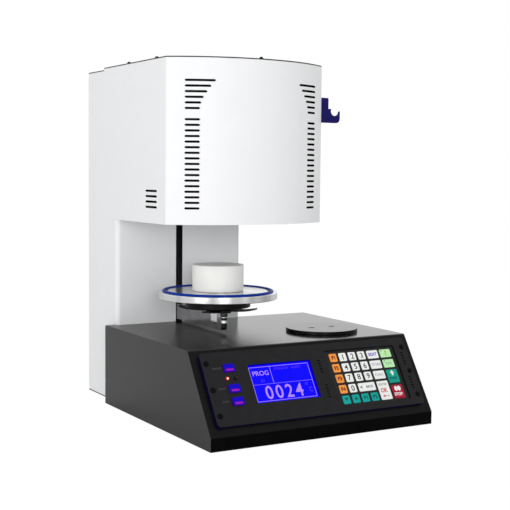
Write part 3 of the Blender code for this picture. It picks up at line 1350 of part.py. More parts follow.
def make_drive():
    """Model the lift drive inside the column."""
    half = FRAME_WIDTH / 2
    shelf_front = DRIVE_Y - FRAME_SHELF_FRONT
    rear = FRAME_FRONT_Y + FRAME_PLATE
    frame = add_part(
        "drive_frame",
        box_mesh([(
            (AXIS_X - half, FRAME_FRONT_Y, WALL_BOTTOM),
            (AXIS_X + half, rear, FRAME_TOP),
        )]),
        PLAIN_STEEL,
    )
    shelves = box_mesh([
        (
            (AXIS_X - half, shelf_front, bottom),
            (AXIS_X + half, rear - FRAME_PLATE / 2, bottom + FRAME_PLATE),
        )
        for bottom in (FRAME_LOWER_SHELF, UPPER_SHELF)
    ])
    fuse(frame, add_tool("frame_shelves", shelves))
    bores = [
        (
            (AXIS_X, DRIVE_Y, FRAME_LOWER_SHELF - OVERRUN),
            (AXIS_X, DRIVE_Y, LOWER_SHELF_TOP + OVERRUN),
            PILOT_RADIUS,
        ),
        (
            (AXIS_X, DRIVE_Y, UPPER_SHELF - OVERRUN),
            (AXIS_X, DRIVE_Y, FRAME_TOP + OVERRUN),
            SCREW_RADIUS + GAP,
        ),
    ]
    cut(frame, add_tool("frame_bores", rod_mesh(bores)))

    for name, side in (("guide_rod_left", -1), ("guide_rod_right", 1)):
        length = UPPER_SHELF - LOWER_SHELF_TOP - 2 * GAP
        mesh = rod_mesh([(ORIGIN, (0, 0, length), ROD_RADIUS)])
        place = (AXIS_X + side * ROD_SPACING / 2, DRIVE_Y, LOWER_SHELF_TOP + GAP)
        smooth(add_part(name, mesh, PLAIN_STEEL, place))

    side = MOTOR_SIDE / 2
    outline = rectangle((-side, -side), (side, side), MOTOR_CORNER, 1)
    lift = Matrix.Translation((0, 0, -MOTOR_HEIGHT / 2))
    place = (AXIS_X, DRIVE_Y, MOTOR_TOP)
    motor = add_part("lift_motor", plate_mesh([outline], MOTOR_HEIGHT, lift), DARK_STEEL, place)
    bore = rod_mesh([(
        (0, 0, -SHAFT_DEPTH - GAP),
        (0, 0, OVERRUN),
        SHAFT_RADIUS + GAP,
    )])
    cut(motor, add_tool("shaft_bore", bore, place))

    shaft_end = MOTOR_TOP - SHAFT_DEPTH
    rise = COUPLING_BOTTOM - shaft_end
    profile = [
        (0, rise + COUPLING_HEIGHT),
        (COUPLING_RADIUS, rise + COUPLING_HEIGHT),
        (COUPLING_RADIUS, rise),
        (SHAFT_RADIUS, rise),
        (SHAFT_RADIUS, 0),
        (0, 0),
    ]
    place = (AXIS_X, DRIVE_Y, shaft_end)
    turn(add_part("motor_coupling", turned_mesh(profile), BRIGHT_ALUMINIUM, place), SMALL_STEPS)

    foot = COUPLING_TOP + GAP
    length = UPPER_SHELF + FRAME_PLATE - GAP - foot
    mesh = rod_mesh([(ORIGIN, (0, 0, length), SCREW_RADIUS)])
    smooth(add_part("lead_screw", mesh, PLAIN_STEEL, (AXIS_X, DRIVE_Y, foot)))

    half = CARRIAGE_WIDTH / 2
    deep = CARRIAGE_DEPTH / 2
    carriage = add_part(
        "lift_carriage",
        box_mesh([(
            (AXIS_X - half, DRIVE_Y - deep, CARRIAGE_BOTTOM),
            (AXIS_X + half, DRIVE_Y + deep, CARRIAGE_TOP),
        )]),
        BRIGHT_ALUMINIUM,
    )
    low = CARRIAGE_BOTTOM - OVERRUN
    high = CARRIAGE_TOP + OVERRUN
    bores = [((AXIS_X, DRIVE_Y, low), (AXIS_X, DRIVE_Y, high), NUT_BARREL_RADIUS + GAP)]
    for hand in (-1, 1):
        across = AXIS_X + hand * ROD_SPACING / 2
        bores.append(((across, DRIVE_Y, low), (across, DRIVE_Y, high), ROD_RADIUS + GAP))
    cut(carriage, add_tool("carriage_bores", rod_mesh(bores)))

    bore = SCREW_RADIUS + GAP
    profile = [
        (bore, NUT_BARREL_HEIGHT),
        (NUT_BARREL_RADIUS, NUT_BARREL_HEIGHT),
        (NUT_BARREL_RADIUS, 0),
        (NUT_FLANGE_RADIUS, 0),
        (NUT_FLANGE_RADIUS, -NUT_FLANGE_HEIGHT),
        (bore, -NUT_FLANGE_HEIGHT),
    ]
    place = (AXIS_X, DRIVE_Y, CARRIAGE_BOTTOM - GAP)
    turn(add_part("lift_nut", turned_mesh(profile, CLOSED_PATH), BRASS, place), SMALL_STEPS)


def make_chamber():
    """Model the vacuum chamber in the head."""
    place = (AXIS_X, PLATFORM_Y, HEAD_BOTTOM)
    step = SHEET + GAP
    profile = [
        (MOUTH_RADIUS, FLANGE_THICKNESS),
        (FLANGE_RADIUS, FLANGE_THICKNESS),
        (FLANGE_RADIUS, step),
        (FLANGE_FACE_RADIUS, step),
        (FLANGE_FACE_RADIUS, 0),
        (MOUTH_RADIUS, 0),
    ]
    turn(add_part("seal_flange", turned_mesh(profile, CLOSED_PATH), BRIGHT_ALUMINIUM, place))

    place = (AXIS_X, PLATFORM_Y, POT_BOTTOM)
    bore = PROBE_HOLE_RADIUS
    inner = POT_RADIUS - POT_WALL
    profile = [
        (bore, POT_HEIGHT),
        (POT_RADIUS, POT_HEIGHT),
        (POT_RADIUS, 0),
        (inner, 0),
        (inner, POT_HEIGHT - POT_WALL),
        (bore, POT_HEIGHT - POT_WALL),
    ]
    turn(add_part("vacuum_pot", turned_mesh(profile, CLOSED_PATH), BRIGHT_ALUMINIUM, place))

    outer = inner - GAP
    tall = POT_HEIGHT - POT_WALL - GAP
    profile = [
        (bore, tall),
        (outer, tall),
        (outer, 0),
        (MOUTH_RADIUS, 0),
        (MOUTH_RADIUS, CAVITY_HEIGHT),
        (bore, CAVITY_HEIGHT),
    ]
    turn(add_part("muffle", turned_mesh(profile, CLOSED_PATH), FIBRE, place))

    points = []
    for index in range(COIL_TURNS * COIL_POINTS_PER_TURN + 1):
        share = index / COIL_POINTS_PER_TURN
        angle = math.tau * share
        points.append((
            COIL_RADIUS * math.cos(angle),
            COIL_RADIUS * math.sin(angle),
            COIL_RISE + COIL_PITCH * share,
        ))
    coil = add_part("heating_coil", tube_mesh(points, COIL_WIRE, 0), HEATER_WIRE, place)
    smooth(coil)

    reach = POT_HEIGHT - CAVITY_HEIGHT + PROBE_REACH
    profile = [
        (0, PROBE_HEAD_HEIGHT),
        (PROBE_HEAD_RADIUS, PROBE_HEAD_HEIGHT),
        (PROBE_HEAD_RADIUS, 0),
        (PROBE_RADIUS, 0),
        (PROBE_RADIUS, -reach),
        (0, -reach),
    ]
    place = (AXIS_X, PLATFORM_Y, POT_TOP + GAP)
    turn(add_part("thermocouple", turned_mesh(profile), CERAMIC, place), SMALL_STEPS)


def fan_place():
    """Return the fan's centre on the rear cover."""
    return (LEFT_X + FAN_LEFT_INSET, HEAD_TOP - FAN_DROP)


def make_fan():
    """Model the cooling fan behind the rear cover."""
    across, height = fan_place()
    side = FAN_SIDE / 2
    depth = FAN_DEPTH
    centre = (across, REAR_INNER_Y - depth / 2, height)
    body = rectangle((-side, -side), (side, side), side / 10, 1)
    bore = circle((0, 0), FAN_BORE_RADIUS, ROUND_STEPS // 2)
    mesh = plate_mesh([body, bore], depth, standing(0))
    frame = add_part("fan_frame", mesh, PLASTIC, centre)
    seat_front = depth / 2 - FAN_SEAT_DEPTH
    seat = rod_mesh([((0, seat_front, 0), (0, depth / 2, 0), FAN_HUB_RADIUS)])
    struts = bmesh.new()
    reach = (FAN_BORE_RADIUS + side) / 2
    for index in range(FAN_STRUTS):
        width = FAN_STRUT_WIDTH / 2
        bar = box_mesh([((-width, depth / 2 - 2 * width, 0), (width, depth / 2 - GAP, reach))])
        angle = math.tau * index / FAN_STRUTS
        bar.transform(Matrix.Rotation(angle, 4, "Y"))
        struts.from_mesh(bar)
    fuse(frame, add_tool("fan_struts", settle(struts, "struts"), centre))
    fuse(frame, add_tool("fan_seat", seat, centre))
    pin_hole = rod_mesh([(
        (0, seat_front - OVERRUN, 0),
        (0, depth / 2 - OVERRUN, 0),
        FAN_PIN_RADIUS + GAP,
    )], TINY_STEPS)
    cut(frame, add_tool("fan_pin_hole", pin_hole, centre))

    hub_rear = seat_front - GAP
    hub = rod_mesh([((0, hub_rear - FAN_HUB_DEPTH, 0), (0, hub_rear, 0), FAN_HUB_RADIUS)])
    rotor = add_part("fan_rotor", hub, PLASTIC, centre)
    blades = bmesh.new()
    for index in range(FAN_BLADES):
        thick = FAN_BLADE_THICKNESS / 2
        deep = FAN_BLADE_DEPTH / 2
        root = FAN_HUB_RADIUS * 4 / 5
        blade = box_mesh([((-thick, -deep, root), (thick, deep, FAN_BLADE_REACH))])
        blade.transform(Matrix.Rotation(FAN_BLADE_ANGLE, 4, "Z"))
        blade.transform(Matrix.Translation((0, hub_rear - FAN_HUB_DEPTH / 2, 0)))
        blade.transform(Matrix.Rotation(math.tau * index / FAN_BLADES, 4, "Y"))
        blades.from_mesh(blade)
    pin = rod_mesh([(
        (0, hub_rear - OVERRUN, 0),
        (0, depth / 2 - OVERRUN - GAP, 0),
        FAN_PIN_RADIUS,
    )], TINY_STEPS)
    fuse(rotor, add_tool("fan_blades", settle(blades, "blades"), centre))
    fuse(rotor, add_tool("fan_pin", pin, centre))


def inlet_window():
    """Return the low and high corners of the inlet's window in the rear cover."""
    left = COLUMN_RIGHT_X - INLET_RIGHT_INSET - INLET_WIDTH / 2
    low = (left - GAP, INLET_RISE - GAP)
    high = (left + INLET_WIDTH + GAP, INLET_RISE + INLET_HEIGHT + GAP)
    return low, high


def make_inlet():
    """Model the mains inlet and its rocker switch, open towards the rear."""
    middle_x = COLUMN_RIGHT_X - INLET_RIGHT_INSET
    half = INLET_WIDTH / 2
    face = COLUMN_REAR_Y + GAP + INLET_FLANGE
    top = INLET_RISE + INLET_HEIGHT
    inlet = add_part(
        "mains_inlet",
        box_mesh([(
            (middle_x - half, face - INLET_DEPTH, INLET_RISE),
            (middle_x + half, face, top),
        )]),
        PLASTIC,
    )
    rim = box_mesh([(
        (middle_x - half - INLET_RIM, face - INLET_FLANGE, INLET_RISE - INLET_RIM),
        (middle_x + half + INLET_RIM, face, top + INLET_RIM),
    )])
    fuse(inlet, add_tool("inlet_rim", rim))
    socket_low = INLET_RISE + SOCKET_MARGIN
    socket = box_mesh([(
        (middle_x - SOCKET_WIDTH / 2, face - SOCKET_DEPTH, socket_low),
        (middle_x + SOCKET_WIDTH / 2, face + OVERRUN, socket_low + SOCKET_HEIGHT),
    )])
    cut(inlet, add_tool("inlet_socket", socket))
    floor = face - SOCKET_DEPTH
    prongs = []
    for across, up in ((-1, 1), (0, 2), (1, 1)):
        x = middle_x + across * PRONG_SPACING / 2
        z = socket_low + up * SOCKET_HEIGHT / 3
        prongs.append((
            (x - PRONG_WIDTH / 2, floor - OVERRUN, z - PRONG_HEIGHT / 2),
            (x + PRONG_WIDTH / 2, floor + PRONG_LENGTH, z + PRONG_HEIGHT / 2),
        ))
    fuse(inlet, add_tool("inlet_prongs", box_mesh(prongs)))

    pivot_z = top - SOCKET_MARGIN - ROCKER_WINDOW_LENGTH / 2
    pocket = box_mesh([(
        (middle_x - ROCKER_WIDTH / 2 - GAP, face - ROCKER_POCKET, pivot_z - ROCKER_WINDOW_LENGTH / 2),
        (middle_x + ROCKER_WIDTH / 2 + GAP, face + OVERRUN, pivot_z + ROCKER_WINDOW_LENGTH / 2),
    )])
    cut(inlet, add_tool("rocker_pocket", pocket))
    reach = ROCKER_LENGTH / 2
    dip = reach * math.tan(ROCKER_TILT)
    crown = ROCKER_DEPTH / 2
    outline = [
        (-crown, -reach),
        (crown, -reach),
        (crown - dip, 0),
        (crown, reach),
        (-crown, reach),
    ]
    mesh = plate_mesh([outline], ROCKER_WIDTH, Matrix.Rotation(-ROCKER_TILT, 4, "X") @ SIDEWAYS)
    pivot_y = face - crown + dip
    add_part("switch_rocker", mesh, PLASTIC, (middle_x, pivot_y, pivot_z))


def port_place():
    """Return the vacuum port's centre on the rear cover."""
    return (HEAD_RIGHT_X - PORT_RIGHT_INSET, HEAD_BOTTOM + PORT_RISE)


def make_vacuum_line():
    """Model the vacuum port in the rear cover and the hose to the pot."""
    across, height = port_place()
    face = GAP
    reach = REAR_REACH
    bore = PORT_BORE_RADIUS
    stem = PORT_STEM_RADIUS
    barb = PORT_BARB_RADIUS
    inner = -SHEET - PORT_INNER_LENGTH
    profile = [
        (bore, reach),
        (stem, reach),
        (barb, face + PORT_FLANGE + (reach - PORT_FLANGE) * 2 / 3),
        (stem, face + PORT_FLANGE + (reach - PORT_FLANGE) / 2),
        (stem, face + PORT_FLANGE),
        (PORT_FLANGE_RADIUS, face + PORT_FLANGE),
        (PORT_FLANGE_RADIUS, face),
        (stem, face),
        (stem, inner),
        (bore, inner),
    ]
    place = (across, COLUMN_REAR_Y, height)
    port = add_part("vacuum_port", turned_mesh(profile, CLOSED_PATH), BRASS, place)
    port.rotation_euler = (-math.pi / 2, 0, 0)
    turn(port, SMALL_STEPS)

    start = Vector((AXIS_X, PLATFORM_Y + POT_RADIUS + GAP, POT_BOTTOM + HOSE_RISE))
    end = Vector((across, COLUMN_REAR_Y + inner - GAP, height))
    along = Vector((0, 1, 0))
    first = start + along * HOSE_END
    last = end - along * HOSE_END
    ahead = first + along * HOSE_LEAD
    behind = last - along * HOSE_LEAD
    points = [tuple(start)]
    for index in range(HOSE_POINTS + 1):
        share = index / HOSE_POINTS
        rest = 1 - share
        point = first * rest ** 3 + ahead * 3 * share * rest ** 2
        point += behind * 3 * share ** 2 * rest + last * share ** 3
        points.append(tuple(point))
    points.append(tuple(end))
    smooth(add_part("vacuum_hose", tube_mesh(points, HOSE_RADIUS, 2), RUBBER))


def make_electrics():
    """Model the transformer and the control board in the base."""
    right = BASE_WIDTH / 2 - TRANSFORMER_RIGHT_INSET
    left = right - TRANSFORMER_WIDTH
    rear = BASE_REAR_Y - TRANSFORMER_REAR_INSET
    front = rear - TRANSFORMER_DEPTH
    top = WALL_BOTTOM + TRANSFORMER_HEIGHT
    core = box_mesh([((left, front, WALL_BOTTOM), (right, rear, top))])
    transformer = add_part("transformer", core, DARK_STEEL)
    rim = TRANSFORMER_COIL_RIM
    winding = box_mesh([(
        (left + rim, front - rim, WALL_BOTTOM + rim),
        (right - rim, rear + rim, top - rim),
    )])
    fuse(transformer, add_tool("transformer_winding", winding))

    half = CONTROL_BOARD_WIDTH / 2
    front = FRONT_Y + CONTROL_BOARD_FRONT_INSET
    rear = front + CONTROL_BOARD_DEPTH
    low = WALL_BOTTOM + CONTROL_BOARD_LIFT
    high = low + BOARD_THICKNESS
    board = add_part(
        "control_board", box_mesh([((-half, front, low), (half, rear, high))]), BOARD_GREEN
    )
    inset = 2 * STANDOFF_RADIUS
    posts = [
        ((across, along, WALL_BOTTOM), (across, along, low + BOARD_THICKNESS / 2), STANDOFF_RADIUS)
        for across in (inset - half, half - inset)
        for along in (front + inset, rear - inset)
    ]
    fuse(board, add_tool("board_standoffs", rod_mesh(posts, TINY_STEPS)))
    quarter = CONTROL_BOARD_WIDTH / 4
    seat = low + BOARD_THICKNESS / 2
    blocks = box_mesh([
        ((-half + inset * 2, front + inset, seat), (-quarter, rear - inset * 3, high + HEAT_SINK_HEIGHT)),
        ((0, front + inset, seat), (quarter / 2, front + inset * 5, high + RELAY_HEIGHT)),
        ((quarter, front + inset, seat), (half - inset * 2, front + inset * 5, high + RELAY_HEIGHT)),
    ])
    fuse(board, add_tool("board_blocks", blocks))


def main():
    """Build the furnace from the bench up."""
    cover = make_base()
    frame = slope_frame()
    make_panel(frame, cover)
    make_cooling_plate()
    make_housing()
    make_covers()
    make_hook()
    make_arm()
    make_leaf_plate()
    make_platform()
    make_drive()
    make_chamber()
    make_fan()
    make_inlet()
    make_vacuum_line()
    make_electrics()


main()
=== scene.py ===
"""Looks of a dental laboratory furnace with a bottom-loading firing chamber.

A black base with a sloping keypad and display carries a white column and head.
A sprung, sealed platform with a ceramic pedestal stands open below the head.
Everything is in metres, +Z up, with the control panel facing -Y.
"""
import math

import bmesh
import bpy
from mathutils import Matrix, Vector


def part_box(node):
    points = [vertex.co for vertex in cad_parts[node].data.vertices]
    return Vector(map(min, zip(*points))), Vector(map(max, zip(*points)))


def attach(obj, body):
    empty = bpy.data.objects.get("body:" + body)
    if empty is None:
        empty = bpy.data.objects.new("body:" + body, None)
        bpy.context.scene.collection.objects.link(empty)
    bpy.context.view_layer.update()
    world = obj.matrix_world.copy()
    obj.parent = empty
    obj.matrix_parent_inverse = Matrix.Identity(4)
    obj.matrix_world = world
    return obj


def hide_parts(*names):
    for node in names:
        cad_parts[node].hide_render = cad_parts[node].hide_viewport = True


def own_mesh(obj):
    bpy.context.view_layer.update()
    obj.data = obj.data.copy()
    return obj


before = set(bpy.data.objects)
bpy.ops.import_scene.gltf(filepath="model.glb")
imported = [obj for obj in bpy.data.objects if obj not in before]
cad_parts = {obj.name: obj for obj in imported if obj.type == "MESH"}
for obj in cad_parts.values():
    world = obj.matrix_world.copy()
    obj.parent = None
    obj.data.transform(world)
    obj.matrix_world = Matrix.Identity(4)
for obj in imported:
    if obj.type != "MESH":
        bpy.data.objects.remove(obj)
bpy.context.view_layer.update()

# Camera
# It stands to the left of the furnace and a little above the platform, and
# leans by half a degree, with a 79 mm lens on a square picture.
camera_place = Vector((-0.886, -1.558, 0.381))
camera_turn = math.radians(-30.125)
camera_drop = math.radians(4.259)
camera_roll = math.radians(0.537)
lens = bpy.data.cameras.new("camera")
lens.sensor_width = 36.0
lens.lens = 78.75
lens.clip_end = 30.0
camera = bpy.data.objects.new("camera", lens)
bpy.context.scene.collection.objects.link(camera)
camera.matrix_world = (
    Matrix.Translation(camera_place)
    @ Matrix.Rotation(camera_turn, 4, "Z")
    @ Matrix.Rotation(math.radians(90) - camera_drop, 4, "X")
    @ Matrix.Rotation(camera_roll, 4, "Z")
)
bpy.context.scene.camera = camera
bpy.context.scene.view_settings.view_transform = "Standard"

# Studio
# A white surround lights the furnace evenly, a wide soft lamp stands low at
# its left and a weaker one behind the camera, and it rests on a pale floor.
pure_white = (1.0, 1.0, 1.0, 1.0)
even_light = 0.65
aim_height = 0.25
floor_reach = 8.0
floor_shade = 0.93
floor_glow = 1.04
floor_glow_share = 0.93
surround = bpy.data.worlds.new("surround")
bpy.context.scene.world = surround
surround.use_nodes = True
sky = surround.node_tree.nodes
sky_links = surround.node_tree.links
soft = sky["Background"]
soft.inputs["Color"].default_value = pure_white
soft.inputs["Strength"].default_value = even_light
bright = sky.new("ShaderNodeBackground")
bright.inputs["Color"].default_value = pure_white
bright.inputs["Strength"].default_value = 1.0
rays = sky.new("ShaderNodeLightPath")
seen = sky.new("ShaderNodeMath")
seen.operation = "MAXIMUM"
mirrored = sky.new("ShaderNodeMath")
mirrored.operation = "MAXIMUM"
blend = sky.new("ShaderNodeMixShader")
sky_links.new(rays.outputs["Is Camera Ray"], seen.inputs[0])
sky_links.new(rays.outputs["Is Glossy Ray"], seen.inputs[1])
sky_links.new(seen.outputs[0], mirrored.inputs[0])
sky_links.new(rays.outputs["Is Transmission Ray"], mirrored.inputs[1])
sky_links.new(mirrored.outputs[0], blend.inputs[0])
sky_links.new(soft.outputs[0], blend.inputs[1])
sky_links.new(bright.outputs[0], blend.inputs[2])
sky_links.new(blend.outputs[0], sky["World Output"].inputs["Surface"])

for name, place, width, power in (
    ("left_lamp", (-2.7, -1.7, 0.45), 1.2, 28.0),
    ("front_lamp", (-1.1, -3.0, 0.7), 0.8, 19.0),
):
    glow = bpy.data.lights.new(name, "AREA")
    glow.size = width
    glow.energy = power
    lamp = bpy.data.objects.new(name, glow)
    bpy.context.scene.collection.objects.link(lamp)
    lamp.location = place
    lamp.visible_camera = False
    aim = Vector((0.0, 0.0, aim_height)) - Vector(place)
    lamp.rotation_euler = aim.to_track_quat("-Z", "Y").to_euler()

floor_shape = bmesh.new()
bmesh.ops.create_grid(floor_shape, x_segments=1, y_segments=1, size=floor_reach)
floor_mesh = bpy.data.meshes.new("floor")
floor_shape.to_mesh(floor_mesh)
floor_shape.free()
floor = bpy.data.objects.new("floor", floor_mesh)
bpy.context.scene.collection.objects.link(floor)
pale = bpy.data.materials.new("pale_floor")
pale.use_nodes = True
pale_nodes = pale.node_tree.nodes
pale_links = pale.node_tree.links
pale_shader = pale_nodes["Principled BSDF"]
pale_shader.inputs["Base Color"].default_value = (floor_shade, floor_shade, floor_shade, 1.0)
pale_shader.inputs["Roughness"].default_value = 0.9
pale_shader.inputs["Specular IOR Level"].default_value = 0.0
floor_lift = pale_nodes.new("ShaderNodeEmission")
floor_lift.inputs["Strength"].default_value = floor_glow
floor_rays = pale_nodes.new("ShaderNodeLightPath")
share = pale_nodes.new("ShaderNodeMath")
share.operation = "MULTIPLY"
share.inputs[1].default_value = floor_glow_share
floor_mix = pale_nodes.new("ShaderNodeMixShader")
pale_links.new(floor_rays.outputs["Is Camera Ray"], share.inputs[0])
pale_links.new(share.outputs[0], floor_mix.inputs[0])
pale_links.new(pale_shader.outputs[0], floor_mix.inputs[1])
pale_links.new(floor_lift.outputs[0], floor_mix.inputs[2])
pale_links.new(floor_mix.outputs[0], pale_nodes["Material Output"].inputs["Surface"])
floor_mesh.materials.append(pale)


# Base
# One folded sheet makes the lip, the slope, the top and the sides.  It is
# coated with a black satin powder whose fine orange peel breaks up the gloss;
# the top is rubbed smoother on its right, where hot trays are set down.  The
# slope and the front lip wear darker, duller copies of that powder as painted
# shade.
sharp_turn = math.radians(32)
flat_turn = math.radians(0.3)
weld = 0.000004
cloud_spread = 22.0
rub_start = -0.10
rub_end = 0.01
rub_depth = 0.21
lip_facing = -0.97
slope_facing = -0.6


def coat(name, colour, other, gloss, grain, relief, metal=0.0, stretch=(1.0, 1.0, 1.0),
         shine=0.5):
    """Return a finish: clouds between two colours, a fine grain in gloss and relief."""
    made = bpy.data.materials.new(name)
    made.use_nodes = True
    nodes = made.node_tree.nodes
    links = made.node_tree.links
    shader = nodes["Principled BSDF"]
    shader.inputs["Metallic"].default_value = metal
    shader.inputs["Specular IOR Level"].default_value = shine
    place = nodes.new("ShaderNodeTexCoord")
    laid = nodes.new("ShaderNodeMapping")
    laid.inputs["Scale"].default_value = stretch
    links.new(place.outputs["Object"], laid.inputs["Vector"])
    clouds = nodes.new("ShaderNodeTexNoise")
    clouds.inputs["Scale"].default_value = grain / cloud_spread
    clouds.inputs["Detail"].default_value = 5.0
    links.new(laid.outputs[0], clouds.inputs["Vector"])
    fine = nodes.new("ShaderNodeTexNoise")
    fine.inputs["Scale"].default_value = grain
    fine.inputs["Detail"].default_value = 3.0
    links.new(laid.outputs[0], fine.inputs["Vector"])
    tint = nodes.new("ShaderNodeValToRGB")
    tint.color_ramp.elements[0].position = 0.36
    tint.color_ramp.elements[0].color = (*colour, 1.0)
    tint.color_ramp.elements[1].position = 0.66
    tint.color_ramp.elements[1].color = (*other, 1.0)
    links.new(clouds.outputs[0], tint.inputs["Fac"])
    links.new(tint.outputs["Color"], shader.inputs["Base Color"])
    sheen = nodes.new("ShaderNodeMapRange")
    sheen.inputs["From Min"].default_value = 0.3
    sheen.inputs["From Max"].default_value = 0.7
    sheen.inputs["To Min"].default_value = gloss[0]
    sheen.inputs["To Max"].default_value = gloss[1]
    links.new(fine.outputs[0], sheen.inputs["Value"])
    links.new(sheen.outputs[0], shader.inputs["Roughness"])
    peel = nodes.new("ShaderNodeBump")
    peel.inputs["Strength"].default_value = 0.7
    peel.inputs["Distance"].default_value = relief
    links.new(fine.outputs[0], peel.inputs["Height"])
    links.new(peel.outputs[0], shader.inputs["Normal"])
    return made


def round_edges(shape, edges, width, steps):
    """Round some edges of a shape."""
    bmesh.ops.bevel(
        shape,
        geom=edges,
        offset=width,
        offset_type="OFFSET",
        segments=steps,
        profile=0.5,
        affect="EDGES",
        clamp_overlap=True,
        material=-1,
    )


def ease(shape, width, steps=2):
    """Round the sharp edges of a shape."""
    sharp = [
        edge
        for edge in shape.edges
        if edge.is_manifold and edge.calc_face_angle() > sharp_turn
    ]
    round_edges(shape, sharp, width, steps)
    return shape


def welded(node):
    """Return a node's solid with its triangles welded and its flat faces whole."""
    shape = bmesh.new()
    shape.from_mesh(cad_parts[node].data)
    bmesh.ops.remove_doubles(shape, verts=shape.verts, dist=weld)
    bmesh.ops.dissolve_limit(
        shape, angle_limit=flat_turn, verts=shape.verts, edges=shape.edges
    )
    return shape


def piece(name, shape, finish, body, slot, *nodes):
    """Make a shape a piece that rides on a body and stands for nodes."""
    mesh = bpy.data.meshes.new(name)
    shape.to_mesh(mesh)
    shape.free()
    for layer in ("custom_normal", "sharp_face", "sharp_edge"):
        if layer in mesh.attributes:
            mesh.attributes.remove(mesh.attributes[layer])
    mesh.shade_smooth()
    mesh.set_sharp_from_angle(angle=sharp_turn)
    mesh.materials.append(finish)
    item = bpy.data.objects.new(name, mesh)
    bpy.context.scene.collection.objects.link(item)
    firm = item.modifiers.new("firm_faces", "WEIGHTED_NORMAL")
    firm.keep_sharp = True
    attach(item, body)
    if nodes:
        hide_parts(*nodes)
    return item


def eased(name, node, finish, body, slot, width, steps=2):
    """Make a node's own solid, its sharp edges rounded, the piece that stands for it."""
    return piece(name, ease(welded(node), width, steps), finish, body, slot, node)


def dress(finish, *nodes):
    """Give nodes that stay in view a finish."""
    for node in nodes:
        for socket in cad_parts[node].material_slots:
            socket.material = finish


black_powder = coat(
    "black_powder_coat", (0.0045, 0.0045, 0.0047), (0.0062, 0.0062, 0.0065), gloss=(0.29, 0.38),
    grain=1100.0, relief=0.000010,
)
powder_nodes = black_powder.node_tree.nodes
powder_links = black_powder.node_tree.links
across = powder_nodes.new("ShaderNodeSeparateXYZ")
powder_links.new(powder_nodes["Texture Coordinate"].outputs["Object"], across.inputs[0])
rubbed = powder_nodes.new("ShaderNodeMapRange")
rubbed.inputs["From Min"].default_value = rub_start
rubbed.inputs["From Max"].default_value = rub_end
rubbed.inputs["To Min"].default_value = 0.0
rubbed.inputs["To Max"].default_value = rub_depth
powder_links.new(across.outputs["X"], rubbed.inputs["Value"])
smoother = powder_nodes.new("ShaderNodeMath")
smoother.operation = "SUBTRACT"
powder_links.new(powder_nodes["Map Range"].outputs[0], smoother.inputs[0])
powder_links.new(rubbed.outputs[0], smoother.inputs[1])
powder_links.new(smoother.outputs[0], powder_nodes["Principled BSDF"].inputs["Roughness"])
base = eased("base_sheet", "base_cover", black_powder, "housing", "black_paint", width=0.0007)
# Painted shade: the slope and the front lip get darker, duller copies of the black powder, chosen
# by which way their faces point.
slope_painted_shade = coat(
    "slope_powder_painted_shade", (0.0040, 0.0040, 0.0042), (0.0055, 0.0055, 0.0058), gloss=(0.26, 0.36),
    grain=1100.0, relief=0.000012, shine=0.08,
)
lip_painted_shade = coat(
    "lip_powder_painted_shade", (0.0012, 0.0012, 0.0013), (0.0018, 0.0018, 0.0019), gloss=(0.30, 0.42),
    grain=1100.0, relief=0.000012, shine=0.03,
)
base.data.materials.append(slope_painted_shade)
base.data.materials.append(lip_painted_shade)
for face in base.data.polygons:
    if face.normal.y < lip_facing:
        face.material_index = 2
    elif face.normal.y < slope_facing:
        face.material_index = 1
pan_steel = coat(
    "blackened_steel", (0.050, 0.050, 0.052), (0.075, 0.075, 0.078), gloss=(0.32, 0.5),
    grain=500.0, relief=0.00001, metal=0.9,
)
dress(pan_steel, "base_pan")
foot_rubber = coat(
    "foot_rubber", (0.012, 0.012, 0.012), (0.024, 0.023, 0.022), gloss=(0.75, 0.92), grain=900.0,
    relief=0.00005,
)
dress(foot_rubber, "foot_front_left", "foot_front_right", "foot_rear_left", "foot_rear_right")

# Head and column
# White coated sheet: one panel runs up the left side, round the bowed front
# and back along the right, with rows of punched slots that let the heat out.
# The walls of the slots and the inside of the sheet get a black painted shade.
sheet_ease = 0.0004
rim_width = 0.004
outside_facing = 0.35


def box_of(node):
    """Return a node's low and high corners and the middle between them."""
    low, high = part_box(node)
    return low, high, [(near + far) / 2 for near, far in zip(low, high)]


white_powder = coat(
    "white_powder_coat", (0.855, 0.860, 0.870), (0.845, 0.850, 0.860), gloss=(0.36, 0.44),
    grain=900.0, relief=0.000010, shine=0.2,
)
sheet = eased("head_sheet", "head_shell", white_powder, "housing", "white_paint", sheet_ease)
vent_painted_shade = coat(
    "vent_painted_shade", (0.004, 0.004, 0.004), (0.006, 0.006, 0.006), gloss=(0.6, 0.8), grain=700.0,
    relief=0.00001, shine=0.05,
)
sheet.data.materials.append(vent_painted_shade)
_, sheet_high, sheet_middle = box_of("head_shell")
floor_low, _, _ = box_of("head_floor")
# Inward faces between the rims take the black painted shade.
for face in sheet.data.polygons:
    away = (face.center.xy - Vector(sheet_middle[:2])).normalized()
    clear_of_rims = floor_low[2] + rim_width < face.center.z < sheet_high[2] - rim_width
    if clear_of_rims and face.normal.xy.dot(away) < outside_facing:
        face.material_index = 1
eased("column_sheet", "column_shell", white_powder, "housing", "white_paint", sheet_ease)
plain_alloy = coat(
    "plain_alloy", (0.58, 0.59, 0.60), (0.66, 0.67, 0.68), gloss=(0.28, 0.42), grain=700.0,
    relief=0.000008, metal=1.0, stretch=(1.0, 12.0, 1.0),
)
eased("head_underside", "head_floor", plain_alloy, "housing", "aluminium", width=0.0003)
cover_powder = coat(
    "cover_powder_coat", (0.0090, 0.0090, 0.0095), (0.0120, 0.0120, 0.0125), gloss=(0.30, 0.42),
    grain=1000.0, relief=0.000018, shine=0.25,
)
eased("head_lid", "top_cover", cover_powder, "housing", "black_paint", sheet_ease)
eased("rear_sheet", "rear_cover", cover_powder, "housing", "black_paint", sheet_ease)
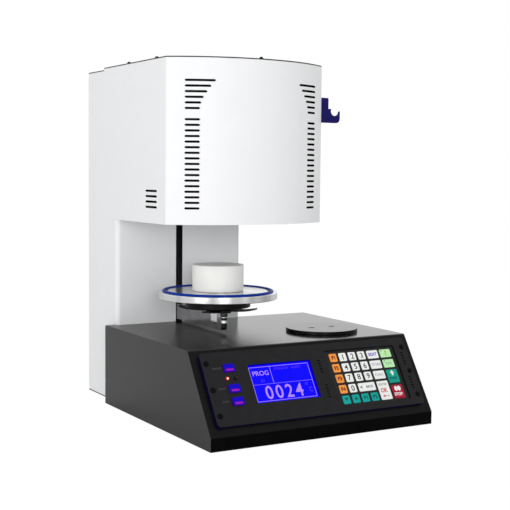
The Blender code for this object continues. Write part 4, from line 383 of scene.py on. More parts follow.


# Screws
# Pan-head machine screws with a cross recess, blackened, hold the lid and
# the control panel.  A thin dark disc round each head is painted shade for
# the shadow of a countersink.
lid_screw = {"radius": 0.0028, "height": 0.0024, "slit": 0.0003, "depth": 0.0011}
panel_screw = {"radius": 0.0034, "height": 0.0015, "slit": 0.00055, "depth": 0.0006}
panel_screw_sink = 0.0016
head_sides = 40
head_taper = 0.86
cross_share = 0.52
crown_share = 0.4
top_share = 0.9
shade_ring_share = 1.22
shade_ring_thick = 0.0002


def screw_head(radius, height, slit, depth):
    """Return a pan head on the XY plane, its pressed cross in the second finish."""
    head = bmesh.new()
    bmesh.ops.create_cone(
        head,
        cap_ends=True,
        segments=head_sides,
        radius1=radius,
        radius2=radius * head_taper,
        depth=height,
        matrix=Matrix.Translation((0, 0, height / 2)),
    )
    crown_foot = height * top_share
    crown = [edge for edge in head.edges if all(vert.co.z > crown_foot for vert in edge.verts)]
    round_edges(head, crown, height * crown_share, 3)
    reach = radius * cross_share
    for across, along, distance in (
        (1, 0, slit), (1, 0, -slit), (0, 1, slit), (0, 1, -slit),
        (1, 0, reach), (1, 0, -reach), (0, 1, reach), (0, 1, -reach),
    ):
        bmesh.ops.bisect_plane(
            head,
            geom=head.verts[:] + head.edges[:] + head.faces[:],
            plane_co=(across * distance, along * distance, 0),
            plane_no=(across, along, 0),
        )
    cross = []
    for face in head.faces:
        spot = face.calc_center_median()
        if face.normal.z < 0.95 or spot.z < crown_foot:
            continue
        near = min(abs(spot.x), abs(spot.y))
        far = max(abs(spot.x), abs(spot.y))
        if near < slit and far < reach:
            cross.append(face)
    # A thin black disc round the head's foot is painted shade for a countersink.
    bmesh.ops.create_cone(
        head,
        cap_ends=True,
        segments=head_sides,
        radius1=radius * shade_ring_share,
        radius2=radius * shade_ring_share,
        depth=shade_ring_thick,
        matrix=Matrix.Translation((0, 0, shade_ring_thick / 2)),
    )
    pressed = bmesh.ops.extrude_face_region(head, geom=cross)
    sunk = [part for part in pressed["geom"] if isinstance(part, bmesh.types.BMVert)]
    bmesh.ops.translate(head, vec=(0, 0, -depth), verts=sunk)
    for part in pressed["geom"]:
        if isinstance(part, bmesh.types.BMFace):
            part.material_index = 1
    bmesh.ops.remove_doubles(head, verts=head.verts, dist=weld / 2)
    return head


screw_black = coat(
    "screw_black", (0.0010, 0.0010, 0.0012), (0.0018, 0.0018, 0.0020), gloss=(0.34, 0.46),
    grain=2500.0, relief=0.000006, shine=0.06,
)
screw_bare = coat(
    "screw_bare", (0.50, 0.50, 0.50), (0.58, 0.58, 0.58), gloss=(0.3, 0.45), grain=2500.0,
    relief=0.000006, metal=0.2,
)
for number in (1, 2, 3):
    _, high, middle = box_of(f"top_screw_{number}")
    head = screw_head(**lid_screw)
    foot = (middle[0], middle[1], high[2] - lid_screw["height"])
    bmesh.ops.translate(head, vec=foot, verts=head.verts)
    screw = piece(f"lid_screw_{number}", head, screw_black, "housing", "dark_steel",
                  f"top_screw_{number}")
    screw.data.materials.append(screw_bare)

# Tongs hook
# A thick dark blue plastic hook on the right wall, with a round notch that
# the firing tongs hang in.
hook_plastic = coat(
    "hook_plastic", (0.0015, 0.0008, 0.085), (0.0025, 0.0015, 0.110), gloss=(0.26, 0.38),
    grain=1500.0, relief=0.000014, shine=0.15,
)
eased("hook", "tongs_hook", hook_plastic, "housing", "hook_blue", width=0.0005)

# Cooling plate
# A thick blackened disc with two slots lies flat on the right of the base's
# top, where hot trays are set down.
flat_facing = 0.5
plate_black = coat(
    "plate_black", (0.0070, 0.0070, 0.0075), (0.0095, 0.0095, 0.0100), gloss=(0.12, 0.18),
    grain=1400.0, relief=0.000006, shine=0.4,
)
tray = eased("cooling_disc", "cooling_plate", plate_black, "housing", "dark_steel", width=0.0006,
             steps=3)
# Painted shade: the rim faces take the slope's darker, duller powder, which keeps a lamp's
# reflection off them.
tray.data.materials.append(slope_painted_shade)
for face in tray.data.polygons:
    if face.normal.z < flat_facing:
        face.material_index = 1

# Control panel
# A blue-black sheet with round corners screwed on the slope, with the window,
# the button holes and four groups of short sound slots punched through it.
slope_foot = Vector((0.0, -0.244, 0.020))
slope_run = 0.072
slope_rise = 0.110
edge_reach = 0.006
pane_reach = 0.002
slope = (
    Matrix.Translation(slope_foot)
    @ Matrix.Rotation(math.atan2(slope_rise, slope_run), 4, "X")
)


def slope_box(node):
    """Return a node's low and high corners and middle across, up and out of the slope."""
    back = slope.inverted()
    spots = [back @ vert.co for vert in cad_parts[node].data.vertices]
    low = Vector([min(spot[axis] for spot in spots) for axis in range(3)])
    high = Vector([max(spot[axis] for spot in spots) for axis in range(3)])
    return low, high, (low + high) / 2


panel_paint = coat(
    "panel_paint", (0.0080, 0.0081, 0.0092), (0.0105, 0.0107, 0.0120), gloss=(0.28, 0.38),
    grain=1300.0, relief=0.000012, shine=0.14,
)
panel_edge = coat(
    "panel_edge", (0.0015, 0.0008, 0.028), (0.0022, 0.0012, 0.040), gloss=(0.3, 0.4), grain=1300.0,
    relief=0.000008, shine=0.15,
)
panel = eased("panel_sheet", "control_panel", panel_paint, "housing", "panel_black", sheet_ease)
panel.data.materials.append(panel_edge)
window_edge = coat(
    "window_edge", (0.002, 0.001, 0.16), (0.004, 0.002, 0.22), gloss=(0.3, 0.4), grain=1300.0,
    relief=0.000008, shine=0.1,
)
panel.data.materials.append(window_edge)
outward = (slope.to_3x3() @ Vector((0, 0, 1))).normalized()
panel_low, panel_high, _ = slope_box("control_panel")
pane_low, pane_high, _ = slope_box("display_window")
for face in panel.data.polygons:
    spot = slope.inverted() @ face.center
    if abs(face.normal.dot(outward)) > flat_facing:
        continue
    rim = min(spot.x - panel_low.x, panel_high.x - spot.x, spot.y - panel_low.y)
    pane = max(
        pane_low.x - spot.x, spot.x - pane_high.x, pane_low.y - spot.y, spot.y - pane_high.y
    )
    if rim < edge_reach:
        face.material_index = 1
    elif pane < pane_reach:
        face.material_index = 2
for number in range(1, 7):
    _, high, middle = slope_box(f"panel_screw_{number}")
    head = screw_head(**panel_screw)
    foot = (middle.x, middle.y, high.z - panel_screw_sink)
    bmesh.ops.translate(head, vec=foot, verts=head.verts)
    bmesh.ops.transform(head, matrix=slope, verts=head.verts)
    fixing = piece(f"panel_fixing_{number}", head, screw_black, "housing", "dark_steel",
                   f"panel_screw_{number}")
    fixing.data.materials.append(screw_bare)

# Display
# A backlit blue liquid-crystal glass: a thin frame with two rules divides it,
# and the chamber's temperature stands in large pale figures in the lower half.
print_thick = 0.00003
figure_size = 0.0284
figure_pitch = 0.0167
figure_start = 0.0226
figure_rise = 0.0126
rule = 0.0007
cell_shade = 0.86


def join(shape, made):
    """Add a made shape to another and free it."""
    mesh = bpy.data.meshes.new("joined")
    made.to_mesh(mesh)
    made.free()
    shape.from_mesh(mesh)
    bpy.data.meshes.remove(mesh)


def slab(shape, low, high, corner=0.0, crown=0.0):
    """Add a slab with round corners and an eased crown to a shape on the slope."""
    made = bmesh.new()
    bmesh.ops.create_cube(made, size=1.0)
    low = Vector(low)
    high = Vector(high)
    bmesh.ops.scale(made, vec=high - low, verts=made.verts)
    bmesh.ops.translate(made, vec=(low + high) / 2, verts=made.verts)
    if corner:
        upright = [
            edge
            for edge in made.edges
            if abs(edge.verts[0].co.z - edge.verts[1].co.z) > (high.z - low.z) / 2
        ]
        round_edges(made, upright, corner, 4)
    if crown:
        rim = [
            edge
            for edge in made.edges
            if all(vert.co.z > high.z - crown / 4 for vert in edge.verts)
        ]
        round_edges(made, rim, crown, 3)
    bmesh.ops.transform(made, matrix=slope, verts=made.verts)
    join(shape, made)


def words(shape, text, size, place, wide=1.0, weight=0.0):
    """Add thin printed characters to a shape on the slope, their box centred on a place."""
    curve = bpy.data.curves.new("words", "FONT")
    curve.body = text
    curve.size = size
    curve.align_x = "CENTER"
    curve.align_y = "CENTER"
    curve.resolution_u = 4
    curve.extrude = print_thick
    curve.offset = weight
    holder = bpy.data.objects.new("words", curve)
    bpy.context.scene.collection.objects.link(holder)
    view = bpy.context.evaluated_depsgraph_get()
    mesh = bpy.data.meshes.new_from_object(holder.evaluated_get(view))
    bpy.data.objects.remove(holder, do_unlink=True)
    bpy.data.curves.remove(curve)
    across = [vert.co.x for vert in mesh.vertices]
    along = [vert.co.y for vert in mesh.vertices]
    centre = (-(min(across) + max(across)) / 2, -(min(along) + max(along)) / 2, 0.0)
    stretch = Matrix.Diagonal((wide, 1.0, 1.0, 1.0))
    mesh.transform(slope @ Matrix.Translation(place) @ stretch @ Matrix.Translation(centre))
    shape.from_mesh(mesh)
    bpy.data.meshes.remove(mesh)


def lit(name, colour, glow, gloss, grain):
    """Return a backlit finish, a little darker in faint clouds."""
    darker = [part * cell_shade for part in colour]
    made = coat(name, colour, darker, gloss=gloss, grain=grain, relief=0.000002, shine=0.06)
    shader = made.node_tree.nodes["Principled BSDF"]
    shader.inputs["Emission Color"].default_value = (*glow, 1.0)
    shader.inputs["Emission Strength"].default_value = 1.0
    return made


glass = bmesh.new()
slab(glass, pane_low, pane_high, crown=0.0003)
display_blue = lit(
    "display_blue", (0.001, 0.0, 0.06), (0.0006, 0.0, 0.94), gloss=(0.10, 0.16), grain=3000.0,
)
piece("display_glass", glass, display_blue, "housing", "display", "display_window")
mark_pale = lit(
    "display_marks", (0.12, 0.07, 0.20), (0.36, 0.20, 0.78), gloss=(0.3, 0.4), grain=3000.0,
)
left = pane_low.x + 0.0020
right = pane_high.x - 0.0036
bottom = pane_low.y + 0.0027
top = pane_high.y - 0.0032
ink = pane_high.z + 0.00002
crest = pane_high.z + 0.00010
split_x = left + 0.0343
split_y = bottom + 0.0256
marks = bmesh.new()
slab(marks, (left, bottom - rule / 2, ink), (right, bottom + rule / 2, crest))
slab(marks, (left, top - rule / 2, ink), (right, top + rule / 2, crest))
slab(marks, (left - rule / 2, bottom, ink), (left + rule / 2, top, crest))
slab(marks, (right - rule / 2, bottom, ink), (right + rule / 2, top, crest))
slab(marks, (left, split_y - rule / 4, ink), (right, split_y + rule / 4, crest))
slab(marks, (split_x - rule / 2, split_y, ink), (split_x + rule / 2, top, crest))
for number, figure in enumerate("0024"):
    spot = (left + figure_start + number * figure_pitch, bottom + figure_rise, ink)
    words(marks, figure, figure_size, spot, wide=0.92, weight=0.00028)
spot = ((left + split_x) / 2, top - 0.0095, ink)
words(marks, "PROG", 0.0098, spot, wide=1.05, weight=0.00012)
piece("display_marks", marks, mark_pale, "housing", "display")
mark_dim = lit(
    "display_small_print", (0.02, 0.01, 0.10), (0.085, 0.03, 0.86), gloss=(0.3, 0.4), grain=3000.0,
)
small = bmesh.new()
for text, size, across, up, wide, weight in (
    ("C", 0.0105, right - 0.0070, bottom + 0.0113, 0.75, 0.0001),
    ("o", 0.0085, right - 0.0121, bottom + 0.0203, 1.0, 0.0001),
    ("01", 0.0065, left + 0.0175, split_y + 0.0055, 1.0, 0.0),
    ("STAND BY   READY", 0.0052, (split_x + right) / 2 - 0.003, top - 0.0046, 1.0, 0.0),
):
    words(small, text, size, (across, up, ink), wide, weight)
piece("display_small_print", small, mark_dim, "housing", "display")
board_green = coat(
    "circuit_board", (0.010, 0.110, 0.045), (0.016, 0.150, 0.060), gloss=(0.3, 0.45), grain=700.0,
    relief=0.00002,
)
dress(board_green, "display_module", "button_board")

# Buttons and lamps
# Three square blue push buttons, each with a glowing bar in its lower part,
# and between the first two a lit red lamp beside a dark one.
crown_facing = 0.9
bar_reach = 0.0062
bar_drop = 0.0044
bar_tall = 0.0030
bar_proud = 0.0002
lamp_radius = 0.0025
core_radius = 0.0012
core_shift = Vector((-0.0006, -0.0005, -0.0008))
label_size = 0.0042
label_across = -0.1550
label_rise = 0.0012
button_blue = lit(
    "button_blue", (0.004, 0.001, 0.22), (0.003, 0.0, 0.30), gloss=(0.22, 0.32), grain=1400.0,
)
button_rim = lit(
    "button_rim", (0.010, 0.001, 0.10), (0.030, 0.0, 0.12), gloss=(0.3, 0.4), grain=1400.0,
)
bar_pink = lit(
    "bar_pink", (0.20, 0.006, 0.14), (0.16, 0.004, 0.24), gloss=(0.3, 0.4), grain=1400.0,
)
for number in (1, 2, 3):
    node = f"push_button_{number}"
    body = f"button_{number}"
    _, high, middle = slope_box(node)
    cap = eased(f"button_cap_{number}", node, button_blue, body, "button_blue", width=0.0007,
                steps=3)
    cap.data.materials.append(button_rim)
    for face in cap.data.polygons:
        if face.normal.dot(outward) < crown_facing:
            face.material_index = 1
    bar = bmesh.new()
    foot = middle.y - bar_drop
    slab(
        bar,
        (middle.x - bar_reach, foot, high.z - bar_proud),
        (middle.x + bar_reach, foot + bar_tall, high.z + bar_proud),
        corner=0.0008,
        crown=0.0001,
    )
    piece(f"button_bar_{number}", bar, bar_pink, body, "button_blue")

lamp_red = lit("lamp_red", (0.30, 0.03, 0.02), (0.42, 0.04, 0.02), gloss=(0.1, 0.2), grain=2000.0)
lamp_core = lit("lamp_core", (0.95, 0.80, 0.72), (1.0, 0.85, 0.75), gloss=(0.1, 0.2), grain=2000.0)
lamp_dark = coat(
    "lamp_dark", (0.012, 0.002, 0.002), (0.022, 0.004, 0.004), gloss=(0.20, 0.30), grain=2000.0,
    relief=0.000004, shine=0.2,
)
for name, node, finish, slot in (
    ("lamp_on", "lit_lamp", lamp_red, "red_lamp"),
    ("lamp_off", "dark_lamp", lamp_dark, "unlit_lamp"),
):
    _, high, middle = slope_box(node)
    dome = bmesh.new()
    bmesh.ops.create_uvsphere(dome, u_segments=32, v_segments=16, radius=lamp_radius)
    spot = (middle.x, middle.y, high.z - lamp_radius)
    bmesh.ops.translate(dome, vec=spot, verts=dome.verts)
    bmesh.ops.transform(dome, matrix=slope, verts=dome.verts)
    piece(name, dome, finish, "housing", slot, node)
_, high, middle = slope_box("lit_lamp")
core = bmesh.new()
bmesh.ops.create_uvsphere(core, u_segments=20, v_segments=10, radius=core_radius)
spot = Vector((middle.x, middle.y, high.z)) + core_shift
bmesh.ops.translate(core, vec=spot, verts=core.verts)
bmesh.ops.transform(core, matrix=slope, verts=core.verts)
piece("lamp_glow", core, lamp_core, "housing", "red_lamp")

label_grey = coat(
    "label_grey", (0.075, 0.075, 0.075), (0.095, 0.095, 0.095), gloss=(0.5, 0.6), grain=2000.0,
    relief=0.000002, shine=0.1,
)
labels = bmesh.new()
for number, text in ((1, "ON/OFF"), (2, "START"), (3, "STOP")):
    _, _, middle = slope_box(f"push_button_{number}")
    spot = (label_across, middle.y + label_rise, panel_high.z + print_thick)
    words(labels, text, label_size, spot)
piece("button_labels", labels, label_grey, "housing", "keypad_film")

# Keypad
# A black membrane with raised keys: white figures and wide white keys, four
# orange ones, four green-blue ones, and the coloured start and stop keys.
film_black = coat(
    "keypad_film", (0.0075, 0.0075, 0.0082), (0.0100, 0.0100, 0.0108), gloss=(0.36, 0.46),
    grain=1300.0, relief=0.000010, shine=0.2,
)
pad_rim = 0.0015
pad_corner = 0.0036
film_drop = 0.0009
pitch_x = 0.0171
key_wide = 0.0127
wide_wide = 0.0200
end_wide = 0.0197
end_gap = 0.0041
row_gap = 0.0037
side_margin = 0.0073
foot_margin = 0.0034
head_margin = 0.0047
key_sink = 0.0003
key_proud = 0.0001
letter_size = 0.0078
figure_tall = 0.0119
print_lift = 0.00004
mark_thick = 0.00004
pad_low, pad_high, _ = slope_box("keypad")
field_low = (pad_low.x + pad_rim, pad_low.y + pad_rim)
field_high = (pad_high.x - pad_rim, pad_high.y - pad_rim)
film_top = pad_high.z - film_drop
film = bmesh.new()
slab(film, pad_low, (pad_high.x, pad_high.y, 0.0), pad_corner)
slab(film, (*field_low, 0.0), (*field_high, film_top), corner=0.0030, crown=0.0002)
piece("keypad_film", film, film_black, "housing", "keypad_film", "keypad")
first_x = field_low[0] + side_margin
first_y = field_low[1] + foot_margin
pitch_y = (field_high[1] - field_low[1] - foot_margin - head_margin + row_gap) / 5
key_tall = pitch_y - row_gap
wide_x = 4 * pitch_x
end_x = wide_x + wide_wide + end_gap
end_y = 1.5 * pitch_y
end_tall = end_y - row_gap
keys = {colour: [] for colour in ("white", "orange", "teal", "lime", "green", "red")}
for row, label in ((4, "F1"), (3, "F2"), (2, "F3"), (1, "F4")):
    keys["orange"].append((0.0, row * pitch_y, key_wide, key_tall, label, letter_size))
for column, label in enumerate(("", "", "P1", "P2")):
    keys["teal"].append((column * pitch_x, 0.0, key_wide, key_tall, label, letter_size))
for row, line in ((4, "123"), (3, "456"), (2, "789")):
    for column, label in enumerate(line, start=1):
        across = column * pitch_x
        keys["white"].append((across, row * pitch_y, key_wide, key_tall, label, figure_tall))
keys["white"].append((pitch_x, pitch_y, key_wide, key_tall, "0", figure_tall))
keys["white"].append((2 * pitch_x, pitch_y, pitch_x + key_wide, key_tall, "", 0.0))
for row in (4, 3, 2):
    keys["white"].append((wide_x, row * pitch_y, wide_wide, key_tall, "", 0.0))
keys["white"].append((wide_x, 0.0, wide_wide, pitch_y + key_tall, "", 0.0))
keys["lime"].append((end_x, 4 * pitch_y, end_wide, key_tall, "?", 0.0110))
keys["lime"].append((end_x, 3 * pitch_y, end_wide, key_tall, "", 0.0))
keys["green"].append((end_x, end_y, end_wide, end_tall, "", 0.0))
keys["red"].append((end_x, 0.0, end_wide, end_tall, "", 0.0))
key_colours = {
    "white": ((0.90, 0.92, 0.90), (0.86, 0.88, 0.86)),
    "orange": ((0.98, 0.34, 0.062), (0.92, 0.31, 0.052)),
    "teal": ((0.002, 0.390, 0.350), (0.001, 0.350, 0.310)),
    "lime": ((0.53, 0.91, 0.47), (0.49, 0.86, 0.42)),
    "green": ((0.002, 0.340, 0.250), (0.001, 0.305, 0.220)),
    "red": ((0.42, 0.008, 0.030), (0.37, 0.006, 0.024)),
}


def ink_coat(name, colour):
    """Return a printed ink, a little uneven in its colour."""
    paler = [min(1.0, part * 1.12 + 0.001) for part in colour]
    return coat(name, colour, paler, gloss=(0.5, 0.6), grain=2500.0, relief=0.000002, shine=0.2)


ink_grey = ink_coat("ink_grey", (0.022, 0.026, 0.030))
ink_violet = ink_coat("ink_violet", (0.13, 0.045, 0.50))
ink_slate = ink_coat("ink_slate", (0.30, 0.30, 0.38))
ink_moss = ink_coat("ink_moss", (0.24, 0.27, 0.24))
ink_rust = ink_coat("ink_rust", (0.16, 0.035, 0.010))
ink_deep = ink_coat("ink_deep", (0.0, 0.085, 0.085))
ink_gold = ink_coat("ink_gold", (0.45, 0.42, 0.05))
ink_red = ink_coat("ink_red", (0.60, 0.050, 0.065))
ink_white = ink_coat("ink_white", (0.80, 0.80, 0.80))
print_of = {"white": ink_grey, "orange": ink_rust, "teal": ink_deep, "lime": ink_gold}
key_top = pad_high.z + key_proud
above = key_top + print_lift
printed = {
    ink: bmesh.new()
    for ink in (ink_grey, ink_violet, ink_slate, ink_moss, ink_rust, ink_deep, ink_gold,
                ink_red, ink_white)
}
for colour, group in keys.items():
    shape = bmesh.new()
    for across, up, width, tall, label, size in group:
        low = (first_x + across, first_y + up, film_top - key_sink)
        high = (low[0] + width, low[1] + tall, key_top)
        slab(shape, low, high, corner=0.0015, crown=0.0004)
        if label:
            spot = (low[0] + width / 2, low[1] + tall / 2, above)
            bold = 0.00014 if colour == "white" else 0.0004
            words(printed[print_of[colour]], label, size, spot, weight=bold)
    key_finish = coat(
        f"key_{colour}", *key_colours[colour], gloss=(0.42, 0.55), grain=1500.0, relief=0.000012,
        shine=0.15,
    )
    piece(f"keys_{colour}", shape, key_finish, "housing", "keypad_film")
wide_mid = first_x + wide_x + wide_wide / 2
end_mid = first_x + end_x + end_wide / 2
row_mid = [first_y + row * pitch_y + key_tall / 2 for row in range(5)]
for ink, text, size, across, up, wide, weight in (
    (ink_violet, "EDIT", 0.0066, wide_mid, row_mid[4], 1.1, 0.00022),
    (ink_slate, "STORE", 0.0060, wide_mid, row_mid[3], 0.95, 0.00005),
    (ink_slate, "FUNC", 0.0058, wide_mid, row_mid[2], 1.0, 0.00005),
    (ink_grey, "<", 0.0088, first_x + 2 * pitch_x + 0.0046, row_mid[1], 0.9, 0.0002),
    (ink_grey, "BACK", 0.0052, first_x + 2 * pitch_x + 0.0197, row_mid[1], 0.95, 0.0001),
    (ink_moss, "ENTER", 0.0052, wide_mid, row_mid[1] + 0.0009, 0.98, 0.00005),
    (ink_red, "OK", 0.0094, wide_mid - 0.0010, row_mid[1] - 0.0085, 0.85, 0.0003),
    (ink_slate, "CLR", 0.0058, end_mid, row_mid[3], 1.05, 0.0001),
    (ink_deep, "START", 0.0050, end_mid - 0.0006, first_y + end_y + 0.0073, 1.0, 0.0002),
    (ink_white, "STOP", 0.0064, end_mid - 0.0010, first_y + 0.0067, 0.95, 0.0003),
):
    words(printed[ink], text, size, (across, up, above), wide, weight)


def mark(shape, sides, centre, wide, tall, turn=0.0):
    """Add a thin printed mark with a number of sides to a shape on the slope."""
    made = bmesh.new()
    bmesh.ops.create_circle(made, cap_ends=True, segments=sides, radius=1.0)
    bmesh.ops.rotate(
        made, verts=made.verts, cent=(0, 0, 0), matrix=Matrix.Rotation(turn, 3, "Z")
    )
    across = [vert.co.x for vert in made.verts]
    along = [vert.co.y for vert in made.verts]
    bmesh.ops.translate(
        made,
        vec=(-(min(across) + max(across)) / 2, -(min(along) + max(along)) / 2, 0),
        verts=made.verts,
    )
    bmesh.ops.scale(
        made,
        vec=(wide / (max(across) - min(across)), tall / (max(along) - min(along)), 1.0),
        verts=made.verts,
    )
    body = bmesh.ops.extrude_face_region(made, geom=made.faces[:])
    lifted = [part for part in body["geom"] if isinstance(part, bmesh.types.BMVert)]
    bmesh.ops.translate(made, vec=(0, 0, mark_thick), verts=lifted)
    bmesh.ops.translate(made, vec=centre, verts=made.verts)
    bmesh.ops.transform(made, matrix=slope, verts=made.verts)
    bmesh.ops.recalc_face_normals(made, faces=made.faces)
    join(shape, made)


quarter = math.radians(90)
arrow_wide, arrow_tall = 0.0072, 0.0048
down_x = first_x + key_wide / 2
down_spot = (down_x, row_mid[0] + 0.0005, above)
up_spot = (down_x + pitch_x, row_mid[0] + 0.0010, above)
mark(printed[ink_deep], 3, down_spot, arrow_wide, arrow_tall, 2 * quarter)
mark(printed[ink_deep], 3, up_spot, arrow_wide, arrow_tall)
arrow_y = first_y + pitch_y * 0.5 - 0.0027
mark(printed[ink_red], 3, (wide_mid - 0.0046, arrow_y, above), 0.0042, 0.0046, quarter)
slab(printed[ink_red], (wide_mid - 0.0030, arrow_y - 0.0004, above),
     (wide_mid + 0.0058, arrow_y + 0.0004, above + mark_thick))
for row in (3, 4):
    spot = (end_mid - 0.0066, row_mid[row] + 0.0043, above)
    mark(printed[ink_deep], 3, spot, 0.0026, 0.0022, quarter / 2)
start_y = first_y + end_y + 0.0119
mark(printed[ink_white], 3, (end_mid, start_y + 0.0062, above), 0.0084, 0.0046)
slab(printed[ink_white], (end_mid - 0.0017, start_y, above),
     (end_mid + 0.0017, start_y + 0.0042, above + mark_thick))
halt_y = first_y + 0.0156
for side in (-1, 1):
    mark(printed[ink_white], 12, (end_mid + side * 0.0028, halt_y, above), 0.0062, 0.0082)
for number, (ink, shape) in enumerate(printed.items(), start=1):
    piece(f"key_print_{number}", shape, ink, "housing", "keypad_film")

# Lift arm
# A milled aluminium bar comes out of the column's slot; its nose carries a
# levelling stud, and the stud carries a black plate of leaf springs.
nose_depth = 0.0052
highlight_band_rise = 0.0162
highlight_band_tall = 0.0038
nose_facing = -0.25
front_facing = -0.7
top_facing = 0.9
milled_alloy = coat(
    "milled_alloy", (0.50, 0.505, 0.52), (0.58, 0.585, 0.60), gloss=(0.16, 0.30), grain=900.0,
    relief=0.000010, metal=1.0, stretch=(6.0, 1.0, 6.0),
)
# The bar's aluminium comes in lit and shaded copies: a darker one is painted shade on its sides,
# top and bottom, a pale one is a painted highlight on its front faces and in a band across the
# nose, and a near-black one is painted shade on the rest of the nose.
arm_painted_shade = coat(
    "arm_painted_shade", (0.27, 0.27, 0.275), (0.34, 0.34, 0.345), gloss=(0.14, 0.26), grain=900.0,
    relief=0.000010, metal=1.0, stretch=(6.0, 1.0, 6.0),
)
arm_nose = coat(
    "arm_nose", (0.008, 0.008, 0.009), (0.014, 0.014, 0.015), gloss=(0.24, 0.34), grain=900.0,
    relief=0.000010, metal=0.7,
)
arm_painted_highlight = coat(
    "arm_painted_highlight", (0.84, 0.85, 0.86), (0.92, 0.93, 0.94), gloss=(0.16, 0.30), grain=900.0,
    relief=0.000010, metal=1.0, stretch=(6.0, 1.0, 6.0),
)
arm_low, _, _ = box_of("lift_arm")
nose_rear = arm_low[1] + nose_depth
highlight_band_low = arm_low[2] + highlight_band_rise
highlight_band_high = highlight_band_low + highlight_band_tall
bar = ease(welded("lift_arm"), width=0.0006, steps=3)
for height in (highlight_band_low, highlight_band_high):
    bmesh.ops.bisect_plane(
        bar,
        geom=bar.verts[:] + bar.edges[:] + bar.faces[:],
        plane_co=(0, 0, height),
        plane_no=(0, 0, 1),
    )
arm = piece("arm_bar", bar, arm_painted_shade, "lift", "aluminium", "lift_arm")
arm.data.materials.append(arm_painted_highlight)
arm.data.materials.append(arm_nose)
# Front faces and the band across the nose take the painted highlight; the rest of the nose takes
# the near-black painted shade.
for face in arm.data.polygons:
    spot = face.center
    on_nose = spot.y < nose_rear and face.normal.y < nose_facing
    if on_nose and face.normal.z < top_facing:
        face.material_index = 1 if highlight_band_low < spot.z < highlight_band_high else 2
    elif face.normal.y < front_facing:
        face.material_index = 1


def turned(points, centre, steps=96, closed=False):
    """Turn a profile of radius and height points about an upright axis."""
    shape = bmesh.new()
    rim = [shape.verts.new((radius, 0.0, height)) for radius, height in points]
    line = [shape.edges.new(pair) for pair in zip(rim, rim[1:])]
    if closed:
        line.append(shape.edges.new((rim[-1], rim[0])))
    bmesh.ops.spin(
        shape,
        geom=rim + line,
        axis=(0, 0, 1),
        cent=(0, 0, 0),
        angle=math.tau,
        steps=steps,
        use_merge=True,
        use_duplicate=False,
    )
    bmesh.ops.remove_doubles(shape, verts=shape.verts, dist=weld)
    bmesh.ops.recalc_face_normals(shape, faces=shape.faces)
    bmesh.ops.translate(shape, vec=centre, verts=shape.verts)
    return shape


collar_top, collar_foot = 0.0075, 0.0014
collar_radius, neck_radius = 0.0058, 0.0046
neck_top = 0.0028
washer_radius, washer_tall = 0.0052, 0.0013
stud_steps = 48
_, stud_high, (stud_x, stud_y, _) = box_of("levelling_stud")
stud_seat = (stud_x, stud_y, stud_high[2] - collar_top)
stud_dark = coat(
    "stud_dark", (0.030, 0.030, 0.035), (0.050, 0.050, 0.055), gloss=(0.18, 0.3), grain=1800.0,
    relief=0.000006, metal=0.7,
)
collar = turned(
    [(0, collar_top), (collar_radius, collar_top), (collar_radius, neck_top),
     (neck_radius, collar_foot), (0, collar_foot)],
    stud_seat,
    stud_steps,
)
piece("stud_collar", ease(collar, width=0.0004), stud_dark, "lift", "dark_steel", "levelling_stud")
nut_steel = coat(
    "nut_steel", (0.60, 0.60, 0.61), (0.68, 0.68, 0.69), gloss=(0.12, 0.24), grain=1500.0,
    relief=0.000004, metal=1.0,
)
washer = turned(
    [(0, washer_tall), (washer_radius, washer_tall), (washer_radius, 0.0), (0, 0.0)],
    stud_seat,
    stud_steps,
)
piece("stud_washer", ease(washer, width=0.0003), nut_steel, "lift", "steel")
leaf_black = coat(
    "leaf_black", (0.0040, 0.0040, 0.0048), (0.0060, 0.0060, 0.0072), gloss=(0.3, 0.45),
    grain=1300.0, relief=0.000008, shine=0.1,
)
leaf_hub, leaf_reach, leaf_rise = 0.043, 0.020, 0.0014
leaf_low, _, leaf_middle = box_of("leaf_spring_plate")
leaf = eased("leaf_plate", "leaf_spring_plate", leaf_black, "lift", "dark_steel", width=0.0002)
for vert in leaf.data.vertices:
    reach = math.dist(vert.co.xy, leaf_middle[:2]) - leaf_hub
    if reach > 0:
        vert.co.z += leaf_rise * (reach / leaf_reach) ** 2
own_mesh(leaf)
brass = coat(
    "brass", (0.60, 0.42, 0.15), (0.68, 0.49, 0.19), gloss=(0.2, 0.32), grain=900.0,
    relief=0.000006, metal=1.0,
)
dress(milled_alloy, "lift_carriage")
dress(brass, "lift_nut")

# Platform
# A turned and polished steel disc with a raised plateau, a blue silicone ring
# in its groove, a black seat disc under it and a white ceramic pedestal on it.
plateau_top, plateau_radius = 0.0115, 0.0780
shelf_top, shelf_start = 0.0105, 0.0792
disc_radius = 0.0932
ring_radius, groove, wire = 0.0842, 0.0031, 0.0031
disc_steps = 160
rim_turn = math.radians(60)
pedestal_radius = 0.0402
platform_low, _, (axis_x, axis_y, _) = box_of("platform")
disc_foot = (axis_x, axis_y, platform_low[2])
steel_polish = bpy.data.materials.new("polished_steel")
steel_polish.use_nodes = True
polish = steel_polish.node_tree.nodes
polish_links = steel_polish.node_tree.links
polish_shader = polish["Principled BSDF"]
polish_shader.inputs["Metallic"].default_value = 1.0
polish_place = polish.new("ShaderNodeTexCoord")
polish_centre = polish.new("ShaderNodeMapping")
polish_centre.inputs["Location"].default_value = (-axis_x, -axis_y, 0.0)
polish_links.new(polish_place.outputs["Object"], polish_centre.inputs["Vector"])
turning = polish.new("ShaderNodeTexWave")
turning.wave_type = "RINGS"
turning.rings_direction = "Z"
turning.inputs["Scale"].default_value = 380.0
turning.inputs["Distortion"].default_value = 1.5
turning.inputs["Detail"].default_value = 2.0
polish_links.new(polish_centre.outputs[0], turning.inputs["Vector"])
polish_tint = polish.new("ShaderNodeValToRGB")
polish_tint.color_ramp.elements[0].color = (0.84, 0.845, 0.85, 1.0)
